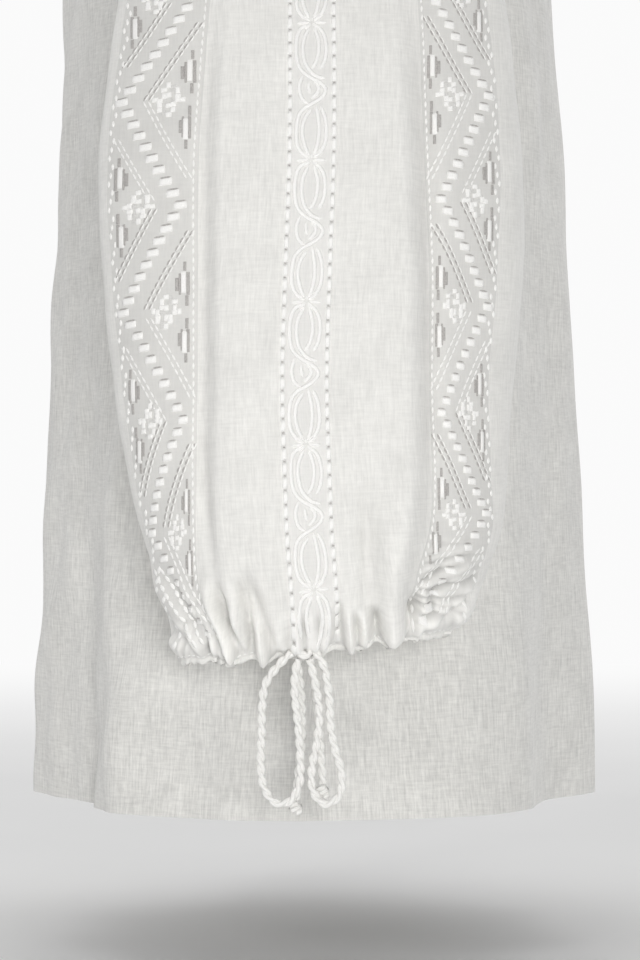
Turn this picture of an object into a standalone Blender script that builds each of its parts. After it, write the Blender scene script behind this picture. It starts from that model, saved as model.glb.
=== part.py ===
"""Peasant blouse with raglan balloon sleeves, embroidered sleeve bands and drawstring cuffs.

Metres, +Z up. The wearer faces -Y and the wearer's left is +X. The origin is the middle of
the neck opening, level with its two sides. Every cloth piece is a wall through rings that
are worked out from the tables below, and the seams run between the pieces.
"""

import math

import bpy
import numpy as np

WALL = 0.0013  # cloth wall
SEAM_GAP = 0.0003  # clearance between two pieces at a seam
STRIP_WIDTH = 0.0215  # centre strip of the sleeve
STRIP_MOST_SHARE = 0.16  # most of the sleeve's half width that half the strip may take
SEAM_SLACK = 1.2  # how much further than half a gap each edge is drawn in
CASING_DEPTH = 0.0070
CASING_THICK = 0.0034
CASING_ROUNDING = 0.0006  # how far its corners are drawn in
CASING_BULGE = 0.0004  # how far its middle stands out
BINDING_DEPTH = 0.0090
BINDING_THICK = 0.0036
BINDING_RISE = 0.0016  # from the panels' edge to the binding's lower edge
BINDING_LEAN = 0.25  # how far the binding leans in towards the neck
CORD = 0.0045  # drawstring diameter
CORD_GAP = 0.0003
BOW_Y = -0.0040
BOW_REACH = 0.006  # length of cuff on each side of the bow that the knot lies against
BOW_HEIGHT_SHARE = 0.45  # how far down the casing the knot's middle lies
BOW_KNOT_HALF = (0.0046, 0.0058, 0.0048)
END_KNOT_RADIUS = 0.0036
LOOP_OUT = 0.0022  # how far the loops hang in front of the knot's middle
ENDS_BACK = 0.0030  # how far the free ends hang behind it

# Sleeve rings from the cuff up to the neck. The outer point is over the arm, the inner point
# is under it, and spread is how far round from the outer point each edge of the ring lies:
# 180 degrees is a closed tube, and less is an arc that ends at the raglan seams. Tilt drops
# the front of a ring below its back. Front_seam and back_seam are where the plain panels meet
# the bands, and front_edge and back_edge where the bands meet the under panels, as shares of
# the half width.
SLEEVE_COLUMNS = (
    "outer_x", "outer_z", "inner_x", "inner_z", "half_width", "centre_y",
    "strip_y", "tilt", "spread", "squareness", "front_seam", "back_seam", "front_edge", "back_edge",
)
SLEEVE_ROWS = (
    (0.303, -0.593, 0.247, -0.593, 0.0670, 0.0010, 0.0030, 0.11, 180, 2.4, 0.55, 0.6, 0.98, 0.93),
    (0.313, -0.587, 0.239, -0.587, 0.0755, 0.0050, 0.0035, 0.11, 180, 2.5, 0.62, 0.58, 0.98, 0.93),
    (0.320, -0.577, 0.233, -0.577, 0.0780, 0.0068, 0.0035, 0.11, 180, 2.6, 0.7, 0.53, 0.98, 0.93),
    (0.325, -0.562, 0.229, -0.562, 0.0830, 0.0068, 0.0030, 0.08, 180, 2.6, 0.75, 0.53, 0.98, 0.93),
    (0.328, -0.540, 0.227, -0.540, 0.0900, 0.0060, 0.0015, 0.05, 180, 2.6, 0.7, 0.57, 0.97, 0.93),
    (0.329, -0.510, 0.226, -0.510, 0.0955, 0.0030, 0.0000, 0.02, 180, 2.6, 0.63, 0.59, 0.955, 0.9),
    (0.328, -0.465, 0.225, -0.465, 0.1007, 0.0005, -0.0025, 0.00, 180, 2.6, 0.565, 0.575, 0.945, 0.865),
    (0.325, -0.410, 0.221, -0.410, 0.1060, 0.0000, -0.0020, 0.00, 180, 2.6, 0.53, 0.55, 0.945, 0.87),
    (0.319, -0.350, 0.214, -0.350, 0.1073, -0.0010, -0.0010, 0.00, 180, 2.6, 0.51, 0.53, 0.945, 0.885),
    (0.306, -0.280, 0.203, -0.280, 0.1000, 0.0000, 0.0000, 0.00, 180, 2.5, 0.51, 0.53, 0.945, 0.885),
    (0.289, -0.215, 0.186, -0.215, 0.0900, 0.0000, 0.0000, 0.00, 180, 2.3, 0.51, 0.53, 0.945, 0.885),
    (0.279, -0.180, 0.177, -0.200, 0.0870, 0.0000, 0.0000, 0.00, 152, 2.2, 0.51, 0.53, 0.945, 0.885),
    (0.266, -0.138, 0.162, -0.178, 0.0850, 0.0000, 0.0000, 0.00, 130, 2.1, 0.51, 0.53, 0.945, 0.885),
    (0.247, -0.102, 0.144, -0.158, 0.0830, 0.0000, 0.0000, 0.00, 114, 2.1, 0.51, 0.53, 0.945, 0.885),
    (0.220, -0.070, 0.122, -0.136, 0.0800, 0.0000, 0.0000, 0.00, 102, 2.0, 0.51, 0.53, 0.945, 0.885),
    (0.186, -0.041, 0.098, -0.112, 0.0760, 0.0000, 0.0000, 0.00, 94, 2.0, 0.51, 0.53, 0.945, 0.885),
    (0.147, -0.018, 0.070, -0.084, 0.0710, 0.0000, 0.0000, 0.00, 90, 2.0, 0.51, 0.53, 0.945, 0.885),
    (0.110, -0.003, 0.038, -0.052, 0.0660, 0.0000, 0.0000, 0.00, 90, 2.0, 0.51, 0.53, 0.945, 0.885),
)

# Body rings from the hem up to the underarm, each a front and a back half ring between the
# side seams, then the rows that run from one raglan seam to the other. Each row gives the
# middle of the front and of the back; below the underarm the sides are at half_width, and
# above it they are the sleeve's own edges.
BODY_COLUMNS = ("half_width", "front_y", "front_z", "back_y", "back_z")
BODY_RINGS = (
    (0.216, -0.150, -0.690, 0.150, -0.690),
    (0.211, -0.149, -0.600, 0.149, -0.600),
    (0.205, -0.148, -0.500, 0.147, -0.500),
    (0.198, -0.146, -0.400, 0.145, -0.400),
    (0.190, -0.144, -0.300, 0.141, -0.300),
    (0.186, -0.141, -0.215, 0.135, -0.215),
)
YOKE_COLUMNS = ("front_y", "front_z", "back_y", "back_z")
YOKE_ROWS = (
    (-0.139, -0.202, 0.133, -0.199),
    (-0.136, -0.184, 0.130, -0.172),
    (-0.131, -0.165, 0.125, -0.144),
    (-0.124, -0.146, 0.117, -0.115),
    (-0.115, -0.127, 0.107, -0.087),
    (-0.105, -0.107, 0.095, -0.060),
    (-0.094, -0.088, 0.082, -0.038),
)

# Large folds of a sleeve: each runs from its top point to its low point, half_width is where
# it has fallen to about a third, and a negative height is a valley. Face 1 is the side away
# from the body and face -1 the side next to it.
FOLD_COLUMNS = ("face", "top_y", "top_z", "low_y", "low_z", "half_width", "height")
SLEEVE_FOLDS = (
    (1, -0.050, -0.250, -0.049, -0.566, 0.0085, -0.0075),
    (1, 0.056, -0.250, 0.061, -0.556, 0.0090, -0.0085),
    (1, -0.031, -0.300, -0.032, -0.560, 0.0150, 0.0040),
    (1, 0.032, -0.300, 0.030, -0.520, 0.0150, 0.0035),
    (1, 0.026, -0.500, 0.029, -0.600, 0.0065, -0.0050),
    (1, 0.044, -0.500, 0.045, -0.600, 0.0105, 0.0060),
    (1, -0.040, -0.545, -0.019, -0.600, 0.0070, 0.0035),
    (-1, -0.035, -0.280, -0.030, -0.600, 0.0110, -0.0060),
    (-1, 0.030, -0.330, 0.036, -0.600, 0.0120, -0.0065),
    (-1, 0.002, -0.420, 0.004, -0.600, 0.0100, 0.0040),
)
FOLD_FADE = 0.035  # length over which a fold rises from nothing at each end
GATHERS = 13  # pleats drawn up round a cuff
GATHER_HEIGHT = 0.0028
GATHER_TOP = -0.545
CUFF_Z = -0.593

# Flutes of the body cloth: the angle round from the side seam at +X, negative through the
# front and positive through the back, its half width and its height at the hem.
FLUTE_COLUMNS = ("angle", "half_angle", "height")
BODY_FLUTES = (
    (-168, 9, 0.009), (-146, 8, -0.008), (-124, 11, 0.011), (-99, 9, -0.010),
    (-76, 10, 0.010), (-50, 9, -0.009), (-29, 9, 0.010), (-9, 8, 0.006),
    (10, 7, -0.007), (29, 10, 0.009), (54, 9, -0.008), (77, 11, 0.012),
    (103, 9, -0.010), (125, 10, 0.010), (148, 9, -0.009), (170, 8, 0.006),
)
FLUTE_TOP = -0.250
HEM_Z = -0.690
NECK_GATHER_HEIGHT = 0.0022
NECK_GATHER_PITCH = 0.021
NECK_GATHER_REACH = 0.075

# Columns of each sleeve piece, from the front edge of the ring round to the back edge.
SLEEVE_PIECES = (
    ("front_under", 7), ("front_band", 5), ("front_plain", 6), ("strip", 2),
    ("back_plain", 6), ("back_band", 5), ("back_under", 7),
)
BODY_PIECE_COLUMNS = 20
RING_SAMPLES = 1441

CLOTH_COLOUR = (0.84, 0.835, 0.81, 1.0)
BAND_COLOUR = (0.78, 0.775, 0.755, 1.0)
CORD_COLOUR = (0.90, 0.895, 0.875, 1.0)


def smooth_step(value):
    """0 below nothing, 1 above one, smooth between."""
    clipped = np.clip(value, 0.0, 1.0)
    return clipped * clipped * (3.0 - 2.0 * clipped)


def named(columns, row):
    """A table row as a dictionary of its named columns."""
    return dict(zip(columns, row))


def signed_power(value, power):
    return np.sign(value) * np.abs(value) ** power


def ring_curve(ring, angles):
    """Points of a sleeve ring at angles from its outer point; negative is towards the front."""
    power = 2.0 / ring["squareness"]
    across = signed_power(np.sin(angles), power) * ring["half_width"]
    out = signed_power(np.cos(angles), power)
    middle_x = (ring["outer_x"] + ring["inner_x"]) / 2
    middle_z = (ring["outer_z"] + ring["inner_z"]) / 2
    y = ring["centre_y"] + across
    x = middle_x + out * (ring["outer_x"] - middle_x)
    z = middle_z + out * (ring["outer_z"] - middle_z) + ring["tilt"] * y
    return np.stack([x, y, z], axis=-1)


def ring_row(ring):
    """One ring's points, evenly spaced within each sleeve piece, and the seams' columns."""
    spread = math.radians(ring["spread"])
    angles = np.linspace(-spread, spread, RING_SAMPLES)
    curve = ring_curve(ring, angles)
    steps = np.linalg.norm(np.diff(curve, axis=0), axis=1)
    along = np.concatenate([[0.0], np.cumsum(steps)])
    outer = np.cos(angles) > -1e-6
    y = curve[:, 1]

    def place(wanted_y):
        return np.interp(wanted_y, y[outer], along[outer])

    low, high = ring["centre_y"] - ring["half_width"], ring["centre_y"] + ring["half_width"]
    half_strip = min(STRIP_WIDTH / 2, STRIP_MOST_SHARE * ring["half_width"])
    seams = [
        0.0,
        place(ring["centre_y"] + ring["front_edge"] * (low - ring["centre_y"])),
        place(ring["centre_y"] + ring["front_seam"] * (low - ring["centre_y"])),
        place(ring["strip_y"] - half_strip),
        place(ring["strip_y"] + half_strip),
        place(ring["centre_y"] + ring["back_seam"] * (high - ring["centre_y"])),
        place(ring["centre_y"] + ring["back_edge"] * (high - ring["centre_y"])),
        along[-1],
    ]
    stops = [0.0]
    for (start, end), (_, columns) in zip(zip(seams, seams[1:]), SLEEVE_PIECES):
        stops.extend(start + (end - start) * (k + 1) / columns for k in range(columns))
    return np.stack([np.interp(stops, along, curve[:, axis]) for axis in range(3)], axis=-1)


def fold_relief(points):
    """How far each sleeve point stands out because of the large folds and the cuff gathers."""
    x, y, z = points[..., 0], points[..., 1], points[..., 2]
    middle = (x.min(axis=1, keepdims=True) + x.max(axis=1, keepdims=True)) / 2
    face = np.where(x > middle, 1, -1)
    total = np.zeros(x.shape)
    for row in SLEEVE_FOLDS:
        fold = named(FOLD_COLUMNS, row)
        share = (z - fold["top_z"]) / (fold["low_z"] - fold["top_z"])
        line = fold["top_y"] + (fold["low_y"] - fold["top_y"]) * np.clip(share, 0, 1)
        length = fold["top_z"] - fold["low_z"]
        ends = smooth_step(share * length / FOLD_FADE)
        profile = np.exp(-(((y - line) / fold["half_width"]) ** 2))
        total += np.where(face == fold["face"], profile * ends * fold["height"], 0.0)
    turn = np.linspace(0.0, 2 * math.pi * GATHERS, x.shape[1])[None, :]
    uneven = 0.9 * np.sin(turn / GATHERS * 3 + 0.6)
    drawn = smooth_step((GATHER_TOP - z) / (GATHER_TOP - CUFF_Z))
    return total + GATHER_HEIGHT * drawn * np.cos(turn + uneven)


def grid_normals(points, closed_rows=0):
    """Outward normals of a grid whose columns run to the right and rows run up, as seen from
    outside. The first closed_rows rows join up round a tube."""
    across = np.gradient(points, axis=1)
    if closed_rows:
        joined = (points[:closed_rows, 1] - points[:closed_rows, -2]) / 2
        across[:closed_rows, 0] = joined
        across[:closed_rows, -1] = joined
    up = np.gradient(points, axis=0)
    normals = np.cross(across, up)
    lengths = np.linalg.norm(normals, axis=-1, keepdims=True)
    return normals / np.maximum(lengths, 1e-9)


def level_edge(normals):
    """The same normals with the lowest row's turned level, so the cloth is cut square there."""
    flat = normals[0] * np.array([1.0, 1.0, 0.0])
    normals[0] = flat / np.linalg.norm(flat, axis=-1, keepdims=True)
    return normals


def sleeve_grid():
    """The left sleeve's points, cuff to neck, and how many of its rings are closed."""
    rings = [named(SLEEVE_COLUMNS, row) for row in SLEEVE_ROWS]
    points = np.array([ring_row(ring) for ring in rings])
    closed = sum(ring["spread"] == 180 for ring in rings)
    normals = level_edge(grid_normals(points, closed))
    points = points + normals * fold_relief(points)[..., None]
    points[:closed, -1] = points[:closed, 0]
    return points, closed


def flute_relief(points):
    """How far the body cloth stands out in its flutes, which open towards the hem."""
    angle = np.degrees(np.arctan2(points[..., 1], points[..., 0]))
    total = np.zeros(angle.shape)
    for row in BODY_FLUTES:
        flute = named(FLUTE_COLUMNS, row)
        away = (angle - flute["angle"] + 180) % 360 - 180
        total += flute["height"] * np.exp(-((away / flute["half_angle"]) ** 2))
    opened = smooth_step((FLUTE_TOP - points[..., 2]) / (FLUTE_TOP - HEM_Z))
    return total * opened


def half_ring(side, middle_y, middle_z, count, back):
    """A row from one side to the other round the front or the back. Side is the point at +X."""
    turns = np.linspace(0.0, math.pi, count * 16 + 1)
    rise = np.sin(turns) ** 0.9
    x = side[0] * np.cos(turns)
    y = side[1] + (middle_y - side[1]) * rise
    z = side[2] + (middle_z - side[2]) * np.sin(turns) ** 1.3
    curve = np.stack([x, y, z], axis=-1)
    if not back:
        curve = curve[::-1]
    steps = np.linalg.norm(np.diff(curve, axis=0), axis=1)
    along = np.concatenate([[0.0], np.cumsum(steps)])
    stops = np.linspace(0.0, along[-1], count + 1)
    return np.stack([np.interp(stops, along, curve[:, axis]) for axis in range(3)], axis=-1)


def neck_gathers(points):
    """Small pleats that fade away below the neck edge; the last row is at the neck."""
    along = np.linalg.norm(np.diff(points[-1], axis=0), axis=1)
    place = np.concatenate([[0.0], np.cumsum(along)])
    place = place - place[-1] / 2
    down = np.linalg.norm(np.diff(points[::-1], axis=0), axis=-1).mean(axis=1)
    depth = np.concatenate([[0.0], np.cumsum(down)])[::-1]
    drawn = smooth_step(1 - depth / NECK_GATHER_REACH)
    edges = smooth_step((abs(place[0]) - np.abs(place)) / NECK_GATHER_PITCH)
    waves = np.cos(2 * math.pi * place / NECK_GATHER_PITCH) * edges
    return NECK_GATHER_HEIGHT * drawn[:, None] * waves[None, :]


def body_grid(back, edge_points):
    """The front or the back from hem to neck. Edge_points are the sleeve's raglan edge."""
    rows = []
    for row in BODY_RINGS:
        ring = named(BODY_COLUMNS, row)
        middle_y = ring["back_y"] if back else ring["front_y"]
        middle_z = ring["back_z"] if back else ring["front_z"]
        side = (ring["half_width"], 0.0, middle_z)
        rows.append(half_ring(side, middle_y, middle_z, BODY_PIECE_COLUMNS, back))
    for row, side in zip(YOKE_ROWS, edge_points):
        ring = named(YOKE_COLUMNS, row)
        middle_y = ring["back_y"] if back else ring["front_y"]
        middle_z = ring["back_z"] if back else ring["front_z"]
        rows.append(half_ring(side, middle_y, middle_z, BODY_PIECE_COLUMNS, back))
    points = np.array(rows)
    relief = flute_relief(points) + neck_gathers(points)
    relief[len(BODY_RINGS):, 0] = 0.0
    relief[len(BODY_RINGS):, -1] = 0.0
    return points + level_edge(grid_normals(points)) * relief[..., None]


def share_normals(first, first_column, second, second_column, rows):
    """Gives both sides of a seam the mean of their normals, so their walls stay apart."""
    for first_row, second_row in rows:
        mean = first[first_row, first_column] + second[second_row, second_column]
        mean = mean / np.linalg.norm(mean)
        first[first_row, first_column] = mean
        second[second_row, second_column] = mean


def drawn_in(layer, sides):
    """Moves the named edges of a point grid inwards by half a seam gap."""
    layer = layer.copy()
    for side in sides:
        edge, inner = {"left": (0, 1), "right": (-1, -2)}[side]
        way = layer[:, inner] - layer[:, edge]
        way = way / np.linalg.norm(way, axis=-1, keepdims=True)
        layer[:, edge] += way * SEAM_GAP / 2 * SEAM_SLACK
    return layer


def wall_faces(rows, columns):
    """Faces of a closed wall: the outer grid, the inner grid and the four edges. Both sides of
    a seam are cut along the same diagonals, so that their twisted edges match."""
    count = rows * columns

    def outer(i, j):
        return i * columns + j

    def inner(i, j):
        return count + i * columns + j

    faces = []
    for i in range(rows - 1):
        for j in range(columns - 1):
            faces.append((outer(i, j), outer(i, j + 1), outer(i + 1, j + 1), outer(i + 1, j)))
            faces.append((inner(i, j), inner(i + 1, j), inner(i + 1, j + 1), inner(i, j + 1)))
    for j in range(columns - 1):
        faces.append((outer(0, j + 1), outer(0, j), inner(0, j), inner(0, j + 1)))
        top = rows - 1
        faces.append((outer(top, j), outer(top, j + 1), inner(top, j + 1), inner(top, j)))
    for i in range(rows - 1):
        last = columns - 1
        faces.append((outer(i + 1, last), outer(i, last), inner(i, last)))
        faces.append((outer(i + 1, last), inner(i, last), inner(i + 1, last)))
        faces.append((outer(i, 0), outer(i + 1, 0), inner(i, 0)))
        faces.append((inner(i, 0), outer(i + 1, 0), inner(i + 1, 0)))
    return faces


def add_mesh(name, points, faces, material, mirrored=False):
    """A named object. A mirrored one is turned over X and its faces are turned back round."""
    points = np.asarray(points, dtype=float).reshape(-1, 3)
    if mirrored:
        points = points * np.array([-1.0, 1.0, 1.0])
        faces = [tuple(reversed(face)) for face in faces]
    mesh = bpy.data.meshes.new(name)
    mesh.from_pydata([tuple(point) for point in points], [], faces)
    mesh.materials.append(material)
    mesh.shade_smooth()
    mesh.validate()
    piece = bpy.data.objects.new(name, mesh)
    bpy.context.scene.collection.objects.link(piece)
    return piece


def add_wall(name, points, normals, sides, material, mirrored=False):
    """A cloth wall from a grid of outside points and their normals."""
    outer = drawn_in(points, sides)
    inner = drawn_in(points - normals * WALL, sides)
    rows, columns = points.shape[:2]
    both = np.concatenate([outer.reshape(-1, 3), inner.reshape(-1, 3)])
    add_mesh(name, both, wall_faces(rows, columns), material, mirrored)


def add_ring_band(name, corners, material, mirrored=False):
    """A closed band from a grid of section corners, one section for each place round it."""
    places, count = corners.shape[:2]
    faces = []
    for i in range(places):
        after = (i + 1) % places
        for k in range(count):
            following = (k + 1) % count
            faces.append((
                i * count + k, after * count + k,
                after * count + following, i * count + following,
            ))
    add_mesh(name, corners, faces, material, mirrored)


def add_cord(name, route, diameter, material, mirrored=False):
    """A cord along a smooth curve through its route's points."""
    route = np.array(route, dtype=float)
    if mirrored:
        route[:, 0] *= -1
    curve = bpy.data.curves.new(name, "CURVE")
    curve.dimensions = "3D"
    curve.bevel_depth = diameter / 2
    curve.bevel_resolution = 2
    curve.use_fill_caps = True
    dense = smooth_route(route, diameter * 2.2)
    spline = curve.splines.new("POLY")
    spline.points.add(len(dense) - 1)
    for point, place in zip(spline.points, dense):
        point.co = (*place, 1.0)
    curve.materials.append(material)
    piece = bpy.data.objects.new(name, curve)
    bpy.context.scene.collection.objects.link(piece)


def smooth_route(route, spacing):
    """Evenly spaced points of a Catmull-Rom curve through the route."""
    padded = np.vstack([2 * route[0] - route[1], route, 2 * route[-1] - route[-2]])
    dense = [route[0]]
    for before, start, end, after in zip(padded, padded[1:], padded[2:], padded[3:]):
        for share in np.linspace(0, 1, 13)[1:]:
            bend = 2 * before - 5 * start + 4 * end - after
            twist = 3 * start - before - 3 * end + after
            slope = end - before
            dense.append(0.5 * (2 * start + slope * share + bend * share**2 + twist * share**3))
    dense = np.array(dense)
    steps = np.linalg.norm(np.diff(dense, axis=0), axis=1)
    along = np.concatenate([[0.0], np.cumsum(steps)])
    stops = np.linspace(0, along[-1], max(2, round(along[-1] / spacing)) + 1)
    return np.stack([np.interp(stops, along, dense[:, axis]) for axis in range(3)], axis=-1)


def add_knot(name, centre, half_sizes, material, mirrored=False):
    """A rounded lump of drawn-up cord."""
    centre = np.array(centre, dtype=float)
    rings, sides = 7, 12
    points = [centre + (0, 0, half_sizes[2])]
    for i in range(1, rings):
        tip = math.pi * i / rings
        for k in range(sides):
            turn = 2 * math.pi * k / sides
            way = (math.sin(tip) * math.cos(turn), math.sin(tip) * math.sin(turn), math.cos(tip))
            points.append(centre + np.array(way) * half_sizes)
    points.append(centre - (0, 0, half_sizes[2]))
    faces = []
    last = len(points) - 1
    for k in range(sides):
        after = (k + 1) % sides
        faces.append((0, 1 + k, 1 + after))
        base = 1 + (rings - 2) * sides
        faces.append((last, base + after, base + k))
        for i in range(rings - 2):
            upper, lower = 1 + i * sides, 1 + (i + 1) * sides
            faces.append((upper + k, lower + k, lower + after, upper + after))
    add_mesh(name, points, faces, material, mirrored)


def make_material(name, colour, roughness):
    material = bpy.data.materials.new(name)
    material.use_nodes = True
    shader = material.node_tree.nodes["Principled BSDF"]
    shader.inputs["Base Color"].default_value = colour
    shader.inputs["Roughness"].default_value = roughness
    shader.inputs["Metallic"].default_value = 0.0
    return material


def add_sleeve(side, points, normals, materials):
    """The seven cut pieces of one sleeve."""
    start = 0
    for piece, columns in SLEEVE_PIECES:
        stop = start + columns + 1
        material = materials["band" if "band" in piece else "cloth"]
        add_wall(
            f"{side}_{piece}", points[:, start:stop], normals[:, start:stop],
            ("left", "right"), material, mirrored=side == "right",
        )
        start = stop - 1


def add_casing(side, points, normals, material):
    """The drawstring channel: a narrow closed band just below the sleeve's gathered edge."""
    edge, out = points[0, :-1], normals[0, :-1]
    down = np.array([0.0, 0.0, -1.0])
    outer = edge + out * (CASING_THICK - WALL) / 2 + down * SEAM_GAP
    inner = outer - out * CASING_THICK
    # The band is thickest in the middle, where the drawstring lies in it.
    corners = np.stack([
        outer - out * CASING_ROUNDING,
        outer + out * CASING_BULGE + down * CASING_DEPTH * 0.5,
        outer - out * CASING_ROUNDING + down * CASING_DEPTH,
        inner + out * CASING_ROUNDING + down * CASING_DEPTH,
        inner + out * CASING_ROUNDING,
    ], axis=1)
    add_ring_band(f"{side}_casing", corners[:, ::-1], material, mirrored=side == "right")


def add_neck_binding(front, back, left, material):
    """The narrow band round the neck that holds the gathers of all four panels."""
    right = left[::-1] * np.array([-1.0, 1.0, 1.0])
    # Round the neck as seen from above, turning from the front towards +X.
    loop = np.concatenate([front[:-1], left[:-1], back[:-1], right[:-1]])
    smooth = loop.copy()
    for _ in range(2):
        smooth = (np.roll(smooth, 1, axis=0) + 2 * smooth + np.roll(smooth, -1, axis=0)) / 4
    along = np.roll(smooth, -1, axis=0) - np.roll(smooth, 1, axis=0)
    away = np.stack([along[:, 1], -along[:, 0], np.zeros(len(along))], axis=-1)
    away = away / np.linalg.norm(away, axis=-1, keepdims=True)
    up = np.array([0.0, 0.0, 1.0]) - away * BINDING_LEAN
    up = up / np.linalg.norm(up, axis=-1, keepdims=True)
    base = smooth - away * WALL / 2 + up * BINDING_RISE
    corners = np.stack([
        base + away * BINDING_THICK / 2,
        base + away * BINDING_THICK / 2 + up * BINDING_DEPTH,
        base - away * BINDING_THICK / 2 + up * BINDING_DEPTH,
        base - away * BINDING_THICK / 2,
    ], axis=1)
    add_ring_band("neck_binding", corners, material)


def add_bow(side, casing_x, casing_z, material):
    """The drawstring's bow on the middle of the cuff: a knot, two loops and two free ends."""
    mirrored = side == "right"
    knot_half = np.array(BOW_KNOT_HALF)
    knot = np.array([casing_x + knot_half[0] + CORD_GAP, BOW_Y, casing_z])
    add_knot(f"{side}_bow_knot", knot, knot_half, material, mirrored)
    under = knot[2] - knot_half[2] - CORD_GAP
    front_x, rear_x = knot[0] + LOOP_OUT, knot[0] - ENDS_BACK
    add_cord(f"{side}_front_loop", front_loop_route(front_x, BOW_Y, under), CORD, material, mirrored)
    add_cord(f"{side}_back_loop", back_loop_route(front_x, BOW_Y, under), CORD, material, mirrored)
    for end, route in (
        ("front", front_end_route(rear_x, BOW_Y, under)),
        ("back", back_end_route(rear_x, BOW_Y, under)),
    ):
        add_cord(f"{side}_{end}_end", route, CORD, material, mirrored)
        tip = np.array(route[-1]) - (0, 0, END_KNOT_RADIUS + CORD_GAP)
        end_half = np.full(3, END_KNOT_RADIUS)
        add_knot(f"{side}_{end}_end_knot", tip, end_half, material, mirrored)


def front_loop_route(x, y, z):
    """Out of the knot to the front, down, round and back up beside the middle."""
    return (
        (x - 0.001, y - 0.0062, z + 0.0030), (x, y - 0.0125, z - 0.0030),
        (x, y - 0.0188, z - 0.0120), (x, y - 0.0205, z - 0.0230),
        (x, y - 0.0208, z - 0.0360), (x, y - 0.0212, z - 0.0500),
        (x, y - 0.0200, z - 0.0620), (x, y - 0.0145, z - 0.0705),
        (x, y - 0.0070, z - 0.0700), (x, y - 0.0020, z - 0.0610),
        (x, y - 0.0018, z - 0.0480), (x, y - 0.0026, z - 0.0340),
        (x, y - 0.0044, z - 0.0180), (x, y - 0.0042, z - 0.0070), (x, y - 0.0026, z),
    )


def back_loop_route(x, y, z):
    """Out of the knot to the back, down close to the middle, round and back up."""
    return (
        (x - 0.001, y + 0.0062, z + 0.0030), (x, y + 0.0102, z - 0.0040),
        (x, y + 0.0118, z - 0.0130), (x, y + 0.0128, z - 0.0220),
        (x, y + 0.0132, z - 0.0330), (x, y + 0.0156, z - 0.0450),
        (x, y + 0.0186, z - 0.0560), (x, y + 0.0176, z - 0.0670),
        (x, y + 0.0106, z - 0.0715), (x, y + 0.0046, z - 0.0650),
        (x, y + 0.0040, z - 0.0540), (x, y + 0.0066, z - 0.0400),
        (x, y + 0.0078, z - 0.0280), (x, y + 0.0062, z - 0.0140), (x, y + 0.0030, z),
    )


def front_end_route(x, y, z):
    """Behind the loops, a little to the front."""
    return (
        (x, y - 0.0030, z), (x, y - 0.0020, z - 0.0100), (x, y - 0.0010, z - 0.0250),
        (x, y - 0.0012, z - 0.0420), (x, y - 0.0030, z - 0.0600), (x, y - 0.0040, z - 0.0700),
    )


def back_end_route(x, y, z):
    """Behind the loops, a little to the back."""
    return (
        (x, y + 0.0034, z), (x, y + 0.0050, z - 0.0110), (x, y + 0.0068, z - 0.0260),
        (x, y + 0.0080, z - 0.0420), (x, y + 0.0090, z - 0.0560), (x, y + 0.0094, z - 0.0620),
    )


def build():
    for old in list(bpy.data.objects):
        bpy.data.objects.remove(old, do_unlink=True)
    materials = {
        "cloth": make_material("voile", CLOTH_COLOUR, 0.9),
        "band": make_material("embroidered_band", BAND_COLOUR, 0.85),
        "cord": make_material("cotton_cord", CORD_COLOUR, 0.8),
    }
    sleeve, closed = sleeve_grid()
    sleeve_normals = grid_normals(sleeve, closed)
    front = body_grid(False, sleeve[closed:, 0])
    back = body_grid(True, sleeve[closed:, -1])
    front_normals, back_normals = grid_normals(front), grid_normals(back)
    for normals in (sleeve_normals, front_normals, back_normals):
        level_edge(normals)
    low = len(BODY_RINGS)
    side_rows = [(row, row) for row in range(low)]
    share_normals(front_normals, -1, back_normals, 0, side_rows)
    share_normals(front_normals, 0, back_normals, -1, side_rows)
    yoke_rows = [(closed + k, low + k) for k in range(len(YOKE_ROWS))]
    share_normals(sleeve_normals, 0, front_normals, -1, yoke_rows)
    share_normals(sleeve_normals, -1, back_normals, 0, yoke_rows)
    flipped = np.array([-1.0, 1.0, 1.0])
    front_normals[low:, 0] = front_normals[low:, -1] * flipped
    back_normals[low:, -1] = back_normals[low:, 0] * flipped
    add_wall("front", front, front_normals, ("left", "right"), materials["cloth"])
    add_wall("back", back, back_normals, ("left", "right"), materials["cloth"])
    add_neck_binding(front[-1], back[-1], sleeve[-1], materials["cloth"])
    by_bow = np.abs(sleeve[0, :, 1] - BOW_Y) < BOW_REACH
    casing_x = sleeve[0, by_bow, 0].max() + (CASING_THICK - WALL) / 2 + CASING_BULGE
    casing_z = sleeve[0, sleeve.shape[1] // 2, 2] - CASING_DEPTH * BOW_HEIGHT_SHARE
    for side in ("left", "right"):
        add_sleeve(side, sleeve, sleeve_normals, materials)
        add_casing(side, sleeve, sleeve_normals, materials["cloth"])
        add_bow(side, casing_x, casing_z, materials["cord"])


build()
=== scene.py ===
"""Looks of a white-on-white embroidered peasant blouse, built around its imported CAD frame.

Metres, +Z up. The wearer faces -Y and the wearer's left is +X; the camera looks along -X at
the left sleeve. Every cloth piece is a thin shell on its CAD wall's form, with finer folds.
Embroidery is laid on the finished cloth as small raised stitches.
"""

import math

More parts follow.
